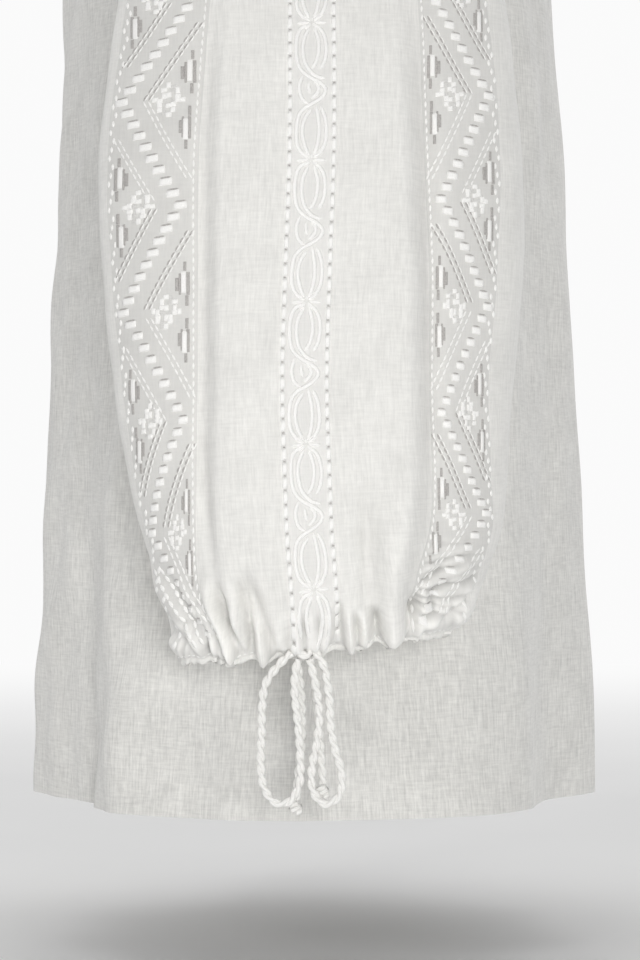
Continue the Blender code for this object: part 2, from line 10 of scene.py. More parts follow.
import bpy
import numpy as np
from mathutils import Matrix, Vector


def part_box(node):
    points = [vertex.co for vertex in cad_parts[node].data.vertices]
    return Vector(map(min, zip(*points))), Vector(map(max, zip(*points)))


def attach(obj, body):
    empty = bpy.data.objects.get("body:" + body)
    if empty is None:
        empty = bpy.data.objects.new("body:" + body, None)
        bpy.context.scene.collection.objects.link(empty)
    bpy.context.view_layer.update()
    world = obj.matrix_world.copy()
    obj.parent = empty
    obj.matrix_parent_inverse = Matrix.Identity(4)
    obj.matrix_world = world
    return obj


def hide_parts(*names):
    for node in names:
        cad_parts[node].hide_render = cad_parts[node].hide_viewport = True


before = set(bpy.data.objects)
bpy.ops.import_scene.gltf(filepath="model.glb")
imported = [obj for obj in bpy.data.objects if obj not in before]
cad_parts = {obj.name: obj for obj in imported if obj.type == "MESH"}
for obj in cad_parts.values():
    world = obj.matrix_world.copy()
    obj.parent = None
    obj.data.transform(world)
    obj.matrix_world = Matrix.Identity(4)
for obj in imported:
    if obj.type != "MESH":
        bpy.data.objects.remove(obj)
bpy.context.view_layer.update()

MM = 0.001
BACK_LIGHT = 0.96  # the studio's brightness on the side behind the blouse
FRONT_LIGHT = 0.26  # and on the side in front of it
SHELL = 0.0006  # thickness of the shown cloth

# ---------------------------------------------------------------- the garment's own sizes
STRIP_WIDTH = 0.0215
STRIP_MOST_SHARE = 0.16  # most of the sleeve's half width that half the strip may take
BINDING_DEPTH = 0.0090
BINDING_THICK = 0.0036
BINDING_LAP = 0.0015  # how far the binding reaches down over the gathers
BINDING_LEAN = 0.25  # how far it leans in towards the neck
CORD = 0.0045
CORD_GAP = 0.0003
CORD_PITCH = 0.0125  # length of one turn of its two plies
BOW_Y = -0.0040
END_KNOT = 0.0036
LOOP_OUT = 0.0022  # how far the loops hang in front of the knot's middle
ENDS_BACK = 0.0030  # how far the free ends hang behind it

# Sleeve rings from the cuff up to the neck, as the CAD's: spread 180 is a closed tube, and
# less is an arc that ends at the raglan seams.
SLEEVE_COLUMNS = (
    "outer_x", "outer_z", "inner_x", "inner_z", "half_width", "centre_y",
    "strip_y", "tilt", "spread", "squareness", "front_seam", "back_seam", "front_edge", "back_edge",
)
SLEEVE_ROWS = (
    (0.303, -0.593, 0.247, -0.593, 0.0670, 0.0010, 0.0015, 0.11, 180, 2.4, 0.55, 0.6, 0.98, 0.93),
    (0.313, -0.587, 0.239, -0.587, 0.0755, 0.0050, 0.0018, 0.11, 180, 2.5, 0.62, 0.58, 0.98, 0.93),
    (0.320, -0.577, 0.233, -0.577, 0.0780, 0.0068, 0.0015, 0.11, 180, 2.6, 0.7, 0.53, 0.98, 0.93),
    (0.325, -0.562, 0.229, -0.562, 0.0830, 0.0068, 0.0008, 0.08, 180, 2.6, 0.75, 0.53, 0.98, 0.93),
    (0.328, -0.540, 0.227, -0.540, 0.0900, 0.0060, -0.0010, 0.05, 180, 2.6, 0.7, 0.57, 0.97, 0.93),
    (0.329, -0.510, 0.226, -0.510, 0.0955, 0.0030, -0.0022, 0.02, 180, 2.6, 0.63, 0.59, 0.955, 0.9),
    (0.328, -0.465, 0.225, -0.465, 0.1007, 0.0005, -0.0035, 0.00, 180, 2.6, 0.565, 0.575, 0.945, 0.865),
    (0.325, -0.410, 0.221, -0.410, 0.1060, 0.0000, -0.0020, 0.00, 180, 2.6, 0.53, 0.55, 0.945, 0.87),
    (0.319, -0.350, 0.214, -0.350, 0.1073, -0.0010, 0.0000, 0.00, 180, 2.6, 0.51, 0.53, 0.945, 0.885),
    (0.306, -0.280, 0.203, -0.280, 0.1000, 0.0000, 0.0000, 0.00, 180, 2.5, 0.51, 0.53, 0.945, 0.885),
    (0.289, -0.215, 0.186, -0.215, 0.0900, 0.0000, 0.0000, 0.00, 180, 2.3, 0.51, 0.53, 0.945, 0.885),
    (0.279, -0.180, 0.177, -0.200, 0.0870, 0.0000, 0.0000, 0.00, 152, 2.2, 0.51, 0.53, 0.945, 0.885),
    (0.266, -0.138, 0.162, -0.178, 0.0850, 0.0000, 0.0000, 0.00, 130, 2.1, 0.51, 0.53, 0.945, 0.885),
    (0.247, -0.102, 0.144, -0.158, 0.0830, 0.0000, 0.0000, 0.00, 114, 2.1, 0.51, 0.53, 0.945, 0.885),
    (0.220, -0.070, 0.122, -0.136, 0.0800, 0.0000, 0.0000, 0.00, 102, 2.0, 0.51, 0.53, 0.945, 0.885),
    (0.186, -0.041, 0.098, -0.112, 0.0760, 0.0000, 0.0000, 0.00, 94, 2.0, 0.51, 0.53, 0.945, 0.885),
    (0.147, -0.018, 0.070, -0.084, 0.0710, 0.0000, 0.0000, 0.00, 90, 2.0, 0.51, 0.53, 0.945, 0.885),
    (0.110, -0.003, 0.038, -0.052, 0.0660, 0.0000, 0.0000, 0.00, 90, 2.0, 0.51, 0.53, 0.945, 0.885),
)
UNDERARM_ROW = 10
FOLDS_HELD_BELOW = -592  # a fold with its low end under this, in millimetres, runs into the casing

# Body rings from the hem up to the underarm. The yoke's rows go on from there to the neck, and
# end on the sleeves' raglan edges instead of at a half width of their own.
BODY_COLUMNS = ("half_width", "front_y", "front_z", "back_y", "back_z")
BODY_RINGS = (
    (0.216, -0.150, -0.690, 0.150, -0.690),
    (0.211, -0.149, -0.600, 0.149, -0.600),
    (0.205, -0.148, -0.500, 0.147, -0.500),
    (0.198, -0.146, -0.400, 0.145, -0.400),
    (0.190, -0.144, -0.300, 0.141, -0.300),
    (0.186, -0.141, -0.215, 0.135, -0.215),
)
YOKE_ROWS = (
    (0.0, -0.139, -0.202, 0.133, -0.199),
    (0.0, -0.136, -0.184, 0.130, -0.172),
    (0.0, -0.131, -0.165, 0.125, -0.144),
    (0.0, -0.124, -0.146, 0.117, -0.115),
    (0.0, -0.115, -0.127, 0.107, -0.087),
    (0.0, -0.105, -0.107, 0.095, -0.060),
    (0.0, -0.094, -0.088, 0.082, -0.038),
)

# Folds of a sleeve in millimetres: a curve from its top over its bend to its low end, the
# distance at which it has fallen to a third, and its height; a negative height is a valley.
# The outer folds are on the side away from the body and the inner ones on the side next to it.
FOLD_COLUMNS = (
    "top_y", "top_z", "bend_y", "bend_z", "low_y", "low_z", "half_width", "height",
)
INNER_FOLDS = (
    (-35, -280, -33, -440, -30, -600, 11.0, -6.0),
    (30, -330, 34, -460, 36, -600, 12.0, -6.5),
    (2, -420, 3, -500, 4, -600, 10.0, 4.0),
)
OUTER_FOLDS = (
    (-50, -250, -51.5, -420, -49.5, -566, 5.0, -3.0),
    (56, -250, 58, -400, 60.5, -556, 5.0, -4.0),
    (-31, -300, -31, -430, -32, -560, 15.0, 4.0),
    (32, -300, 32, -430, 30, -530, 15.0, 3.5),
    (26.5, -500, 28, -552, 32, -598, 5.5, -5.5),
    (43, -500, 42, -552, 40.5, -598, 10.5, 6.5),
    # the front plain panel, drawn down towards the bow
    (-55.5, -470, -50.5, -530, -41, -578, 4.0, -3.4),
    (-54.5, -560, -46.5, -581, -34.5, -603, 3.1, 6.5),
    (-50, -556, -42, -578, -36, -594, 3.1, -8.5),
    (-38, -570, -35.5, -585, -32.5, -602, 4.4, 7.6),
    (-38.5, -555, -31, -577, -29, -599, 2.9, -9.6),
    (-28, -570, -25, -587, -23, -602, 5.1, 7.6),
    (-34.5, -550, -25, -577, -15.5, -599, 3.4, -8.5),
    (-20, -575, -15.5, -588, -13, -600, 4.8, 5.7),
    # the centre strip
    (-8, -570, -7.5, -585, -6, -600, 1.8, 1.7),
    (-4.5, -572, -4, -585, -3, -600, 1.8, -2.5),
    (-1, -574, -0.5, -586, 0, -600, 1.8, 1.9),
    (3, -572, 3.5, -585, 4, -600, 1.8, -2.7),
    (7, -570, 7.5, -585, 8.5, -600, 1.9, 1.9),
    (11, -570, 12, -585, 12.5, -600, 1.9, -2.7),
    # the back plain panel and its large puff
    (16, -572, 18.5, -585, 19.5, -600, 3.4, 5.4),
    (13, -567, 14.5, -582, 17, -599, 2.4, -6.2),
    (20, -572, 22, -585, 23, -600, 2.4, -6.8),
    (24, -572, 25.5, -585, 25, -599, 2.9, 5.7),
    (30, -570, 32.5, -585, 33, -598, 2.7, -9.9),
    (49, -562, 48, -582, 45, -597, 3.1, -10.9),
    # the back band, crumpled
    (50, -573.5, 56, -574.5, 64, -572.5, 1.8, 2.5),
    (49, -579.5, 56.5, -580.5, 65, -578, 1.8, 2.7),
    (48, -584.5, 56.5, -585, 64, -582.5, 1.8, 2.5),
    (80, -559, 71.5, -570.5, 56.5, -579, 3.1, 3.6),
    (82, -562, 74, -574.5, 63, -583, 2.7, -4.5),
    (80, -572, 74, -580.5, 66, -588, 2.9, 2.6),
    (66, -566, 72, -557, 79, -552, 2.9, 2.2),
    (64, -556, 70, -548, 78, -543, 2.9, 1.6),
    # the front band, folds running down towards the bow
    (-83, -550, -71, -572.5, -56, -594, 3.6, 2.8),
    (-77, -552, -64, -575, -49, -599, 3.1, -3.6),
    (-70, -555, -58, -577.5, -45, -599, 3.1, 2.5),
    (-81, -572.5, -71, -587.5, -61, -602, 2.9, -3),
    (-76, -585, -68, -595, -58, -604, 2.9, 2.3),
    (-61, -586.5, -56, -595, -53.5, -604, 2.4, 1.9),
    (-66, -584, -62, -593, -57, -603, 2.2, -2.5),
)
FLUTE_COLUMNS = ("angle", "half_angle", "height")
BODY_FLUTES = (
    (-168, 9, 0.009), (-146, 8, -0.008), (-124, 11, 0.011), (-99, 9, -0.010),
    (-76, 10, 0.010), (-50, 9, -0.009), (-29, 9, 0.010), (-9, 8, 0.006),
    (10, 7, -0.007), (29, 10, 0.009), (54, 9, -0.008), (77, 11, 0.012),
    (103, 9, -0.010), (125, 10, 0.010), (148, 9, -0.009), (170, 8, 0.006),
)
FLUTE_TOP = -0.250
HEM_Z = -0.690

# Columns of mesh in each sleeve piece, from the front raglan edge round to the back one.
SLEEVE_PIECES = (
    ("front_under", 28), ("front_band", 42), ("front_plain", 36), ("strip", 18),
    ("back_plain", 44), ("back_band", 46), ("back_under", 28),
)
BODY_MESH_COLUMNS = 104
BODY_MESH_ROWS = 86
CUFF_ROW_STEP = 0.0011
SLEEVE_ROW_STEP = 0.0048
CUFF_ZONE = 0.075
EDGE_CALM = 0.25  # share of a fold's height that is left where the casing holds it
EDGE_CALM_LENGTH = 0.0065
BILLOW = 0.0070  # how far the plain middle of the sleeve stands out from its bands
BILLOW_TOP = -0.23  # height at which it begins
BILLOW_EDGES = (0.013, 0.014)  # distances over which it rises from the front and back bands
PUFF_HEIGHT = 0.0052  # how far the puffs over the casing stand out
PUFF_MIDDLE = 0.0045  # height of their middle over the cloth's edge
PUFF_REACH = 0.78  # how far from the sleeve's middle they go, as a share of its half width
PUFF_HALF_DEPTH = 0.0042
PUFF_SAG = 0.7  # how far they hang down, as a share of how far they stand out
RING_SAMPLES = 1441  # points at which a ring's curve is worked out
EDGE_DROOP = 0.0026  # how far the gathered edge hangs over the casing
GATHERED_PAINTED_LIGHT = 0.45  # painted light: how much lighter the painted shading makes the gathered cloth just over the cuff
PAINTED_SHADE_DEPTH = 0.0011  # a crease this far under its surroundings gets the darkest painted shade
GATHER_PITCH = 0.0053
GATHER_HEIGHT = 0.0007
GATHER_REACH = 0.016  # how far up from the casing the little gathers go
NECK_REACH = 0.11  # length of the longest pleats at the neck
# Crisp wrinkles of each band at the cuff: which band, the direction in which they run, where
# they begin, and the column of the band's seam.
CRUMPLES = ((1, 0.62, -0.534, "back_seam"), (-1, -0.80, -0.556, "front_seam"))
CRUMPLE_PITCHES = (0.0098, 0.0061)
CRUMPLE_HEIGHTS = (0.0018, 0.0009)


# ---------------------------------------------------------------- small mathematics
def smooth_step(value):
    """0 below nothing, 1 above one, smooth between."""
    clipped = np.clip(value, 0.0, 1.0)
    return clipped * clipped * (3.0 - 2.0 * clipped)


def named(columns, row):
    """A table's row as a dictionary."""
    return dict(zip(columns, row))


def signed_power(value, power):
    """A power of a value's size, with its sign kept."""
    return np.sign(value) * np.abs(value) ** power


def unit(vectors):
    return vectors / np.maximum(np.linalg.norm(vectors, axis=-1, keepdims=True), 1e-12)


def between_rows(table, places):
    """Values of a table's columns at fractional row places, on a Catmull-Rom curve."""
    table = np.asarray(table, dtype=float)
    padded = np.vstack([2 * table[0] - table[1], table, 2 * table[-1] - table[-2]])
    first = np.clip(np.floor(places).astype(int), 0, len(table) - 2)
    share = (np.asarray(places) - first)[:, None]
    before, start, end, after = (padded[first + k] for k in range(4))
    bend = 2 * before - 5 * start + 4 * end - after
    twist = 3 * start - before - 3 * end + after
    return 0.5 * (2 * start + (end - before) * share + bend * share**2 + twist * share**3)


def distances(curve):
    """How far along a curve each of its points lies."""
    return np.concatenate([[0.0], np.cumsum(np.linalg.norm(np.diff(curve, axis=0), axis=1))])


def at_distances(stops, along, curve):
    """Points of a curve at given distances along it."""
    return np.stack([np.interp(stops, along, values) for values in curve.T], axis=-1)


def even_route(points, spacing):
    """Evenly spaced points of a smooth curve through the given ones."""
    points = np.asarray(points, dtype=float)
    dense = between_rows(points, np.linspace(0, len(points) - 1, 24 * (len(points) - 1) + 1))
    along = distances(dense)
    stops = np.linspace(0, along[-1], max(2, round(along[-1] / spacing)) + 1)
    return at_distances(stops, along, dense)


def to_edge(count):
    """How many columns each one of a row lies from the nearer end."""
    return np.minimum(np.arange(count), np.arange(count)[::-1])


def grid_normals(points, closed_rows=0):
    """Outward normals of a grid seen from outside, columns to the right and rows up."""
    across = np.gradient(points, axis=1)
    if closed_rows:
        joined = (points[:closed_rows, 1] - points[:closed_rows, -2]) / 2
        across[:closed_rows, 0] = joined
        across[:closed_rows, -1] = joined
    return unit(np.cross(across, np.gradient(points, axis=0)))


# ---------------------------------------------------------------- the sleeve's surface
def ring_curve(ring, angles):
    power = 2.0 / ring["squareness"]
    across = signed_power(np.sin(angles), power) * ring["half_width"]
    out = signed_power(np.cos(angles), power)
    middle_x = (ring["outer_x"] + ring["inner_x"]) / 2
    middle_z = (ring["outer_z"] + ring["inner_z"]) / 2
    y = ring["centre_y"] + across
    x = middle_x + out * (ring["outer_x"] - middle_x)
    z = middle_z + out * (ring["outer_z"] - middle_z) + ring["tilt"] * y
    return np.stack([x, y, z], axis=-1)


def half_strip_width(half_sleeve):
    """Half the centre strip's width, where the sleeve is twice half_sleeve wide."""
    return np.minimum(STRIP_WIDTH / 2, STRIP_MOST_SHARE * half_sleeve)


def ring_row(ring):
    """One ring's points, evenly spaced within each sleeve piece, their distances from the
    strip's middle, and which of them lie on the half away from the body."""
    spread = math.radians(ring["spread"])
    angles = np.linspace(-spread, spread, RING_SAMPLES)
    curve = ring_curve(ring, angles)
    along = distances(curve)
    outer = np.cos(angles) > -1e-6
    half_width = ring["half_width"]

    def place(share):
        return np.interp(ring["centre_y"] + share * half_width, curve[outer, 1], along[outer])

    half_strip = half_strip_width(half_width) / half_width
    strip = (ring["strip_y"] - ring["centre_y"]) / half_width
    seams = [
        0.0, place(-ring["front_edge"]), place(-ring["front_seam"]), place(strip - half_strip),
        place(strip + half_strip), place(ring["back_seam"]), place(ring["back_edge"]), along[-1],
    ]
    stops = [0.0]
    for start, end, (_, columns) in zip(seams, seams[1:], SLEEVE_PIECES):
        stops.extend(start + (end - start) * (k + 1) / columns for k in range(columns))
    stops = np.array(stops)
    first, last = along[outer][[0, -1]]
    shown = (stops >= first) & (stops <= last)
    return at_distances(stops, along, curve), stops - place(strip), shown


def row_places():
    """Fractional table rows of the mesh rows: closely spaced at the cuff, and one on the
    underarm. Also gives each one's height, which is z on the hanging part of the sleeve."""
    last = len(SLEEVE_ROWS) - 1
    parts = 60
    fine = np.linspace(0, last, parts * last + 1)
    along = distances(between_rows(SLEEVE_ROWS, fine)[:, :2])
    at_underarm = along[parts * UNDERARM_ROW]

    def stretch(start, end, step):
        return np.linspace(start, end, round((end - start) / step) + 1)

    lengths = np.concatenate([
        stretch(0.0, CUFF_ZONE, CUFF_ROW_STEP)[:-1],
        stretch(CUFF_ZONE, at_underarm, SLEEVE_ROW_STEP)[:-1],
        stretch(at_underarm, along[-1], SLEEVE_ROW_STEP),
    ])
    places = np.interp(lengths, along, fine)
    underarm = int(np.argmin(np.abs(places - UNDERARM_ROW)))
    places[underarm] = UNDERARM_ROW
    heights = between_rows(SLEEVE_ROWS, places)[:, 1].copy()
    above = lengths > at_underarm
    heights[above] = SLEEVE_ROWS[UNDERARM_ROW][1] + lengths[above] - at_underarm
    return places, heights, underarm


def fold_profile(y, z, fold):
    """One fold's relief over a grid whose places across and up are y and z."""
    turns = np.linspace(0, 1, 15)[:, None]
    ends = ("top", "bend", "low")
    top, bend, low = (np.array([fold[f"{end}_y"], fold[f"{end}_z"]]) * MM for end in ends)
    bend = 2 * bend - (top + low) / 2
    route = (1 - turns) ** 2 * top + 2 * turns * (1 - turns) * bend + turns**2 * low
    half_width = fold["half_width"] * MM
    near = half_width * 3
    span = (
        (y > route[:, 0].min() - near) & (y < route[:, 0].max() + near)
        & (z > route[:, 1].min() - near) & (z < route[:, 1].max() + near)
    )
    flat = np.stack([y[span], z[span]], axis=-1)
    best = np.full(len(flat), 1e9)
    share = np.zeros(len(flat))
    for k, (start, end) in enumerate(zip(route, route[1:])):
        way = end - start
        place = np.clip(((flat - start) @ way) / (way @ way), 0, 1)
        away = np.linalg.norm(flat - start - place[:, None] * way, axis=1)
        closer = away < best
        best[closer] = away[closer]
        share[closer] = (k + place[closer]) / (len(route) - 1)
    grow = smooth_step(share / 0.4)
    if fold["low_z"] > FOLDS_HELD_BELOW:
        grow = grow * smooth_step((1 - share) / 0.3)
    relief = np.zeros(y.shape)
    relief[span] = fold["height"] * MM * grow * np.exp(-((best / half_width) ** 2))
    return relief


def column(table, name):
    """One named column of the sleeve's rows, as a column."""
    place = SLEEVE_COLUMNS.index(name)
    return table[:, place : place + 1]


def billow(y, z, table):
    """The full plain middle of the sleeve, which stands out from both stiffer bands."""
    half, centre = column(table, "half_width"), column(table, "centre_y")
    from_front = (y - centre + column(table, "front_seam") * half) / BILLOW_EDGES[0]
    from_back = (centre + column(table, "back_seam") * half - y) / BILLOW_EDGES[1]
    hangs = smooth_step((BILLOW_TOP - z) / 0.10) * smooth_step((z + 0.596) / 0.020)
    return BILLOW * smooth_step(from_front) * smooth_step(from_back) * hangs


def overhang(across, climb, reach):
    """Rounded puffs that sag over the casing, each to its own depth, between the bands."""
    uneven = np.sin(across / 0.0023 + 1.2 * np.sin(across / 0.0081)) + np.sin(across / 0.0037 + 2.0)
    size = 0.5 + 0.25 * uneven
    middle = smooth_step((PUFF_REACH - reach) / 0.22)
    return PUFF_HEIGHT * size * middle * np.exp(-(((climb - PUFF_MIDDLE) / PUFF_HALF_DEPTH) ** 2))


def smoothed(grid, reach):
    """A grid averaged with its neighbours, some cells each way."""
    for axis in (0, 1):
        wide = [(reach, reach) if k == axis else (0, 0) for k in (0, 1)]
        padded = np.pad(grid, wide, mode="edge")
        count = grid.shape[axis]
        parts = [np.take(padded, range(k, k + count), axis=axis) for k in range(2 * reach + 1)]
        grid = sum(parts) / len(parts)
    return grid


def crumple(y, z, table):
    """Crisp uneven wrinkles of the stiff embroidered bands where the casing draws them in."""
    total = np.zeros(y.shape)
    share = (y - column(table, "centre_y")) / column(table, "half_width")
    for side, lean, top, seam in CRUMPLES:
        along = y * math.cos(lean) + z * math.sin(lean)
        over = z * math.cos(lean) - y * math.sin(lean)
        wander = 0.34 * np.sin(along / 0.0068 + side) + 0.24 * np.sin(along / 0.0037 + over / 0.0052)
        large_turn = over / CRUMPLE_PITCHES[0] + wander
        small_turn = over / CRUMPLE_PITCHES[1] - 1.4 * wander + along / 0.017
        large = 2 * np.abs(np.sin(math.pi * large_turn)) ** 0.8 - 1
        small = 2 * np.abs(np.sin(math.pi * small_turn)) - 1
        here = smooth_step((side * share - column(table, seam)) / 0.07)
        here = here * smooth_step((0.985 - side * share) / 0.10) * smooth_step((top - z) / 0.034)
        rough = 1.0 + 0.45 * np.sin(along / 0.0125 + 2.2 * np.sin(over / 0.0145) + side)
        total += here * rough * (CRUMPLE_HEIGHTS[0] * large + CRUMPLE_HEIGHTS[1] * small)
    return total


def edge_gathers(across, climb):
    """Tight little gathers just over the casing, uneven in height."""
    turn = across / GATHER_PITCH * 2 * math.pi
    uneven = 1.4 * np.sin(turn / 7.3 + 0.4) + 0.9 * np.sin(turn / 3.1)
    size = 0.55 + 0.45 * np.sin(turn / 4.7 + 1.1)
    return GATHER_HEIGHT * np.cos(turn + uneven) * size * smooth_step(1 - climb / GATHER_REACH)


def hidden_cuff_folds():
    """Gathers of the cuff's inner side, as uneven as the ones that show."""
    chance = np.random.default_rng(11)
    folds = []
    y = -64.0
    sign = 1
    while y < 66:
        length = chance.uniform(28, 58)
        lean = chance.uniform(-7, 7)
        low = -600 + 0.11 * y
        height = sign * chance.uniform(1.8, 3.4)
        folds.append((
            y + lean, low + length, y + lean * 0.4, low + length * 0.5, y, low,
            chance.uniform(2.4, 3.6), height,
        ))
        y += chance.uniform(5.0, 7.5)
        sign = -sign
    return tuple(folds)


def soft_waves(across, up, seed, height):
    """A gentle unevenness of the cloth, the same each run."""
    chance = np.random.default_rng(seed)
    total = np.zeros(across.shape)
    for _ in range(9):
        length = chance.uniform(0.035, 0.11)
        lean = chance.normal(0, 0.35)
        phase = chance.uniform(0, 2 * math.pi)
        wave = across * math.cos(lean) + up * math.sin(lean)
        other = up * math.cos(lean) - across * math.sin(lean)
        total += np.sin(2 * math.pi * wave / length + phase + 1.3 * np.sin(other / 0.06 + phase * 3))
    return total * height / 3


def neck_pleats(across, depth, pitch, height, seed):
    """Pleats that the neck binding draws up, each fading out at its own depth."""
    chance = np.random.default_rng(seed)
    total = np.zeros(across.shape)
    edge = np.abs(across[-1]).max()
    place = -edge + pitch
    while place < edge - pitch * 0.6:
        reach = chance.uniform(0.35, 1.0) * NECK_REACH
        half = pitch * chance.uniform(0.24, 0.36)
        drawn = smooth_step(1 - depth / reach)
        profile = np.exp(-(((across[-1][None, :] - place) / half) ** 2))
        total += height * chance.uniform(0.6, 1.1) * drawn * profile
        place += pitch * chance.uniform(0.8, 1.25)
    return total


def sleeve_rings():
    """The sleeve's plain form: its table rows, heights and underarm row, then the points, the
    distances across and which points show, in rows from the cuff up."""
    places, heights, underarm = row_places()
    table = between_rows(SLEEVE_ROWS, places)
    spread = column(table, "spread")
    spread[:] = np.clip(spread, 0, 180)
    spread[: underarm + 1] = 180
    rings = [ring_row(named(SLEEVE_COLUMNS, values)) for values in table]
    base, across, shown = (np.array(part) for part in zip(*rings))
    base[: underarm + 1, -1] = base[: underarm + 1, 0]
    return table, heights, underarm, base, across, shown


def sleeve_surface():
    """The left sleeve's shown cloth: its points, normals, cloth coordinates and painted shading
    (painted shade in creases, painted light on ridges and at the cuff), with the plain form that
    they stand on."""
    table, heights, underarm, base, across, shown = sleeve_rings()
    closed = underarm + 1
    y, z = base[..., 1], base[..., 2]
    up = np.broadcast_to(heights[:, None], y.shape)
    climb = up - up[0, 0]
    relief = np.zeros(y.shape)
    for row in OUTER_FOLDS:
        relief += np.where(shown, fold_profile(y, z, named(FOLD_COLUMNS, row)), 0.0)
    for row in INNER_FOLDS + hidden_cuff_folds():
        relief += np.where(~shown, fold_profile(y, z, named(FOLD_COLUMNS, row)), 0.0)
    relief += np.where(shown, billow(y, z, table), 0.0)
    relief *= EDGE_CALM + (1 - EDGE_CALM) * smooth_step(climb / EDGE_CALM_LENGTH)
    relief += edge_gathers(across, climb)
    reach = np.abs(y - column(table, "centre_y")) / column(table, "half_width")
    puffs = np.where(shown, overhang(across, climb, reach), 0.0)
    relief += puffs
    relief += np.where(shown, crumple(y, z, table), 0.0) * smooth_step(climb / 0.005)
    relief += soft_waves(across, up, 3, 0.0006)
    relief += neck_pleats(across, heights[-1] - up, 0.0105, 0.0019, 5)
    calm = smooth_step(to_edge(relief.shape[1]) / 6.0)[None, :]
    opened = np.arange(len(heights))[:, None] > underarm - 8
    relief = np.where(opened, relief * calm, relief)
    points = base + grid_normals(base, closed) * relief[..., None]
    points[..., 2] -= puffs * PUFF_SAG + EDGE_DROOP * np.exp(-((climb / 0.006) ** 2))
    # Painted shade in the creases: darker where the cloth lies under its smoothed surroundings, and
    # painted light where it lies over them and on the gathered cloth just over the cuff.
    painted_shading = np.clip((smoothed(relief, 2) - relief) / PAINTED_SHADE_DEPTH, -0.7, 1.0)
    painted_shading -= GATHERED_PAINTED_LIGHT * smooth_step((-0.566 - up) / 0.022)
    points[:closed, -1] = points[:closed, 0]
    return {
        "points": points, "normals": grid_normals(points, closed), "across": across, "up": up,
        "heights": heights, "base": base, "shown": shown, "table": table, "painted_shading": painted_shading,
    }


class Chart:
    """Places stitches on the outer half of the left sleeve. Across is y, and up is the
    height along the sleeve, which is z where the sleeve hangs."""

    SHARES = np.linspace(-0.985, 0.985, 395)

    def __init__(self, sleeve):
        self.heights = sleeve["heights"]
        self.table = sleeve["table"]
        self.centre = self.values("centre_y")
        self.half = self.values("half_width")
        self.strip = self.values("strip_y")
        grids = {"points": [], "normals": []}
        for i in range(len(self.heights)):
            columns = np.nonzero(sleeve["shown"][i])[0]
            share = (sleeve["base"][i, columns, 1] - self.centre[i]) / self.half[i]
            order = np.argsort(share)
            for name, rows in grids.items():
                line = sleeve[name][i, columns[order]]
                rows.append(at_distances(self.SHARES, share[order], line))
        self.points = np.array(grids["points"])
        self.normals = unit(np.array(grids["normals"]))

    def values(self, name):
        return column(self.table, name)[:, 0]

    def at(self, values, height):
        return np.interp(height, self.heights, values)

    def place(self, across, height, lift):
        """Points lifted off the cloth at places across and up it."""
        share = (across - self.at(self.centre, height)) / self.at(self.half, height)
        rows = np.interp(height, self.heights, np.arange(len(self.heights)))
        columns = np.interp(share, self.SHARES, np.arange(len(self.SHARES)))
        i = np.clip(rows.astype(int), 0, len(self.heights) - 2)
        j = np.clip(columns.astype(int), 0, len(self.SHARES) - 2)
        fi, fj = (rows - i)[:, None], (columns - j)[:, None]

        def mix(grid):
            low = grid[i, j] * (1 - fj) + grid[i, j + 1] * fj
            high = grid[i + 1, j] * (1 - fj) + grid[i + 1, j + 1] * fj
            return low * (1 - fi) + high * fi

        return mix(self.points) + unit(mix(self.normals)) * lift[:, None]


# ---------------------------------------------------------------- meshes
def wall_faces(rows, columns):
    """Quads of a closed shell: the outer grid, the inner grid and the four edges."""
    i, j = np.meshgrid(np.arange(rows - 1), np.arange(columns - 1), indexing="ij")
    a = (i * columns + j).ravel()
    count = rows * columns
    outer = np.stack([a, a + 1, a + columns + 1, a + columns], axis=-1)
    inner = np.stack([a, a + columns, a + columns + 1, a + 1], axis=-1) + count
    j = np.arange(columns - 1)
    top = (rows - 1) * columns
    i = np.arange(rows - 1) * columns
    last = columns - 1
    rims = [
        np.stack([j + 1, j, j + count, j + 1 + count], axis=-1),
        np.stack([top + j, top + j + 1, top + j + 1 + count, top + j + count], axis=-1),
        np.stack([i + columns + last, i + last, i + last + count, i + columns + last + count], -1),
        np.stack([i, i + columns, i + columns + count, i + count], axis=-1),
    ]
    return np.concatenate([outer, inner] + rims)


def make_mesh(
    name, points, faces, material, cloth=None, mirrored=False, smooth_angle=70, painted_shading=None
):
    """An object from points and equal-sided faces. Cloth is its coordinates in the weave."""
    points = np.array(points, dtype=float).reshape(-1, 3)
    faces = np.array(faces)
    if mirrored:
        points = points * np.array([-1.0, 1.0, 1.0])
        faces = faces[:, ::-1]
    mesh = bpy.data.meshes.new(name)
    mesh.vertices.add(len(points))
    mesh.vertices.foreach_set("co", points.astype(np.float32).ravel())
    sides = faces.shape[1]
    mesh.loops.add(faces.size)
    mesh.loops.foreach_set("vertex_index", faces.astype(np.int32).ravel())
    mesh.polygons.add(len(faces))
    mesh.polygons.foreach_set("loop_start", np.arange(0, faces.size, sides, dtype=np.int32))
    mesh.update(calc_edges=True)
    if cloth is not None:
        layer = mesh.uv_layers.new(name="cloth")
        layer.data.foreach_set("uv", cloth[faces.ravel()].astype(np.float32).ravel())
    # Painted shading for the cloth's colour: painted shade in creases, painted light on ridges.
    if painted_shading is not None:
        layer = mesh.attributes.new("painted_shading", "FLOAT", "POINT")
        layer.data.foreach_set("value", painted_shading.astype(np.float32).ravel())
    mesh.materials.append(material)
    mesh.validate()
    mesh.shade_smooth()
    mesh.set_sharp_from_angle(angle=math.radians(smooth_angle))
    piece = bpy.data.objects.new(name, mesh)
    bpy.context.scene.collection.objects.link(piece)
    return piece


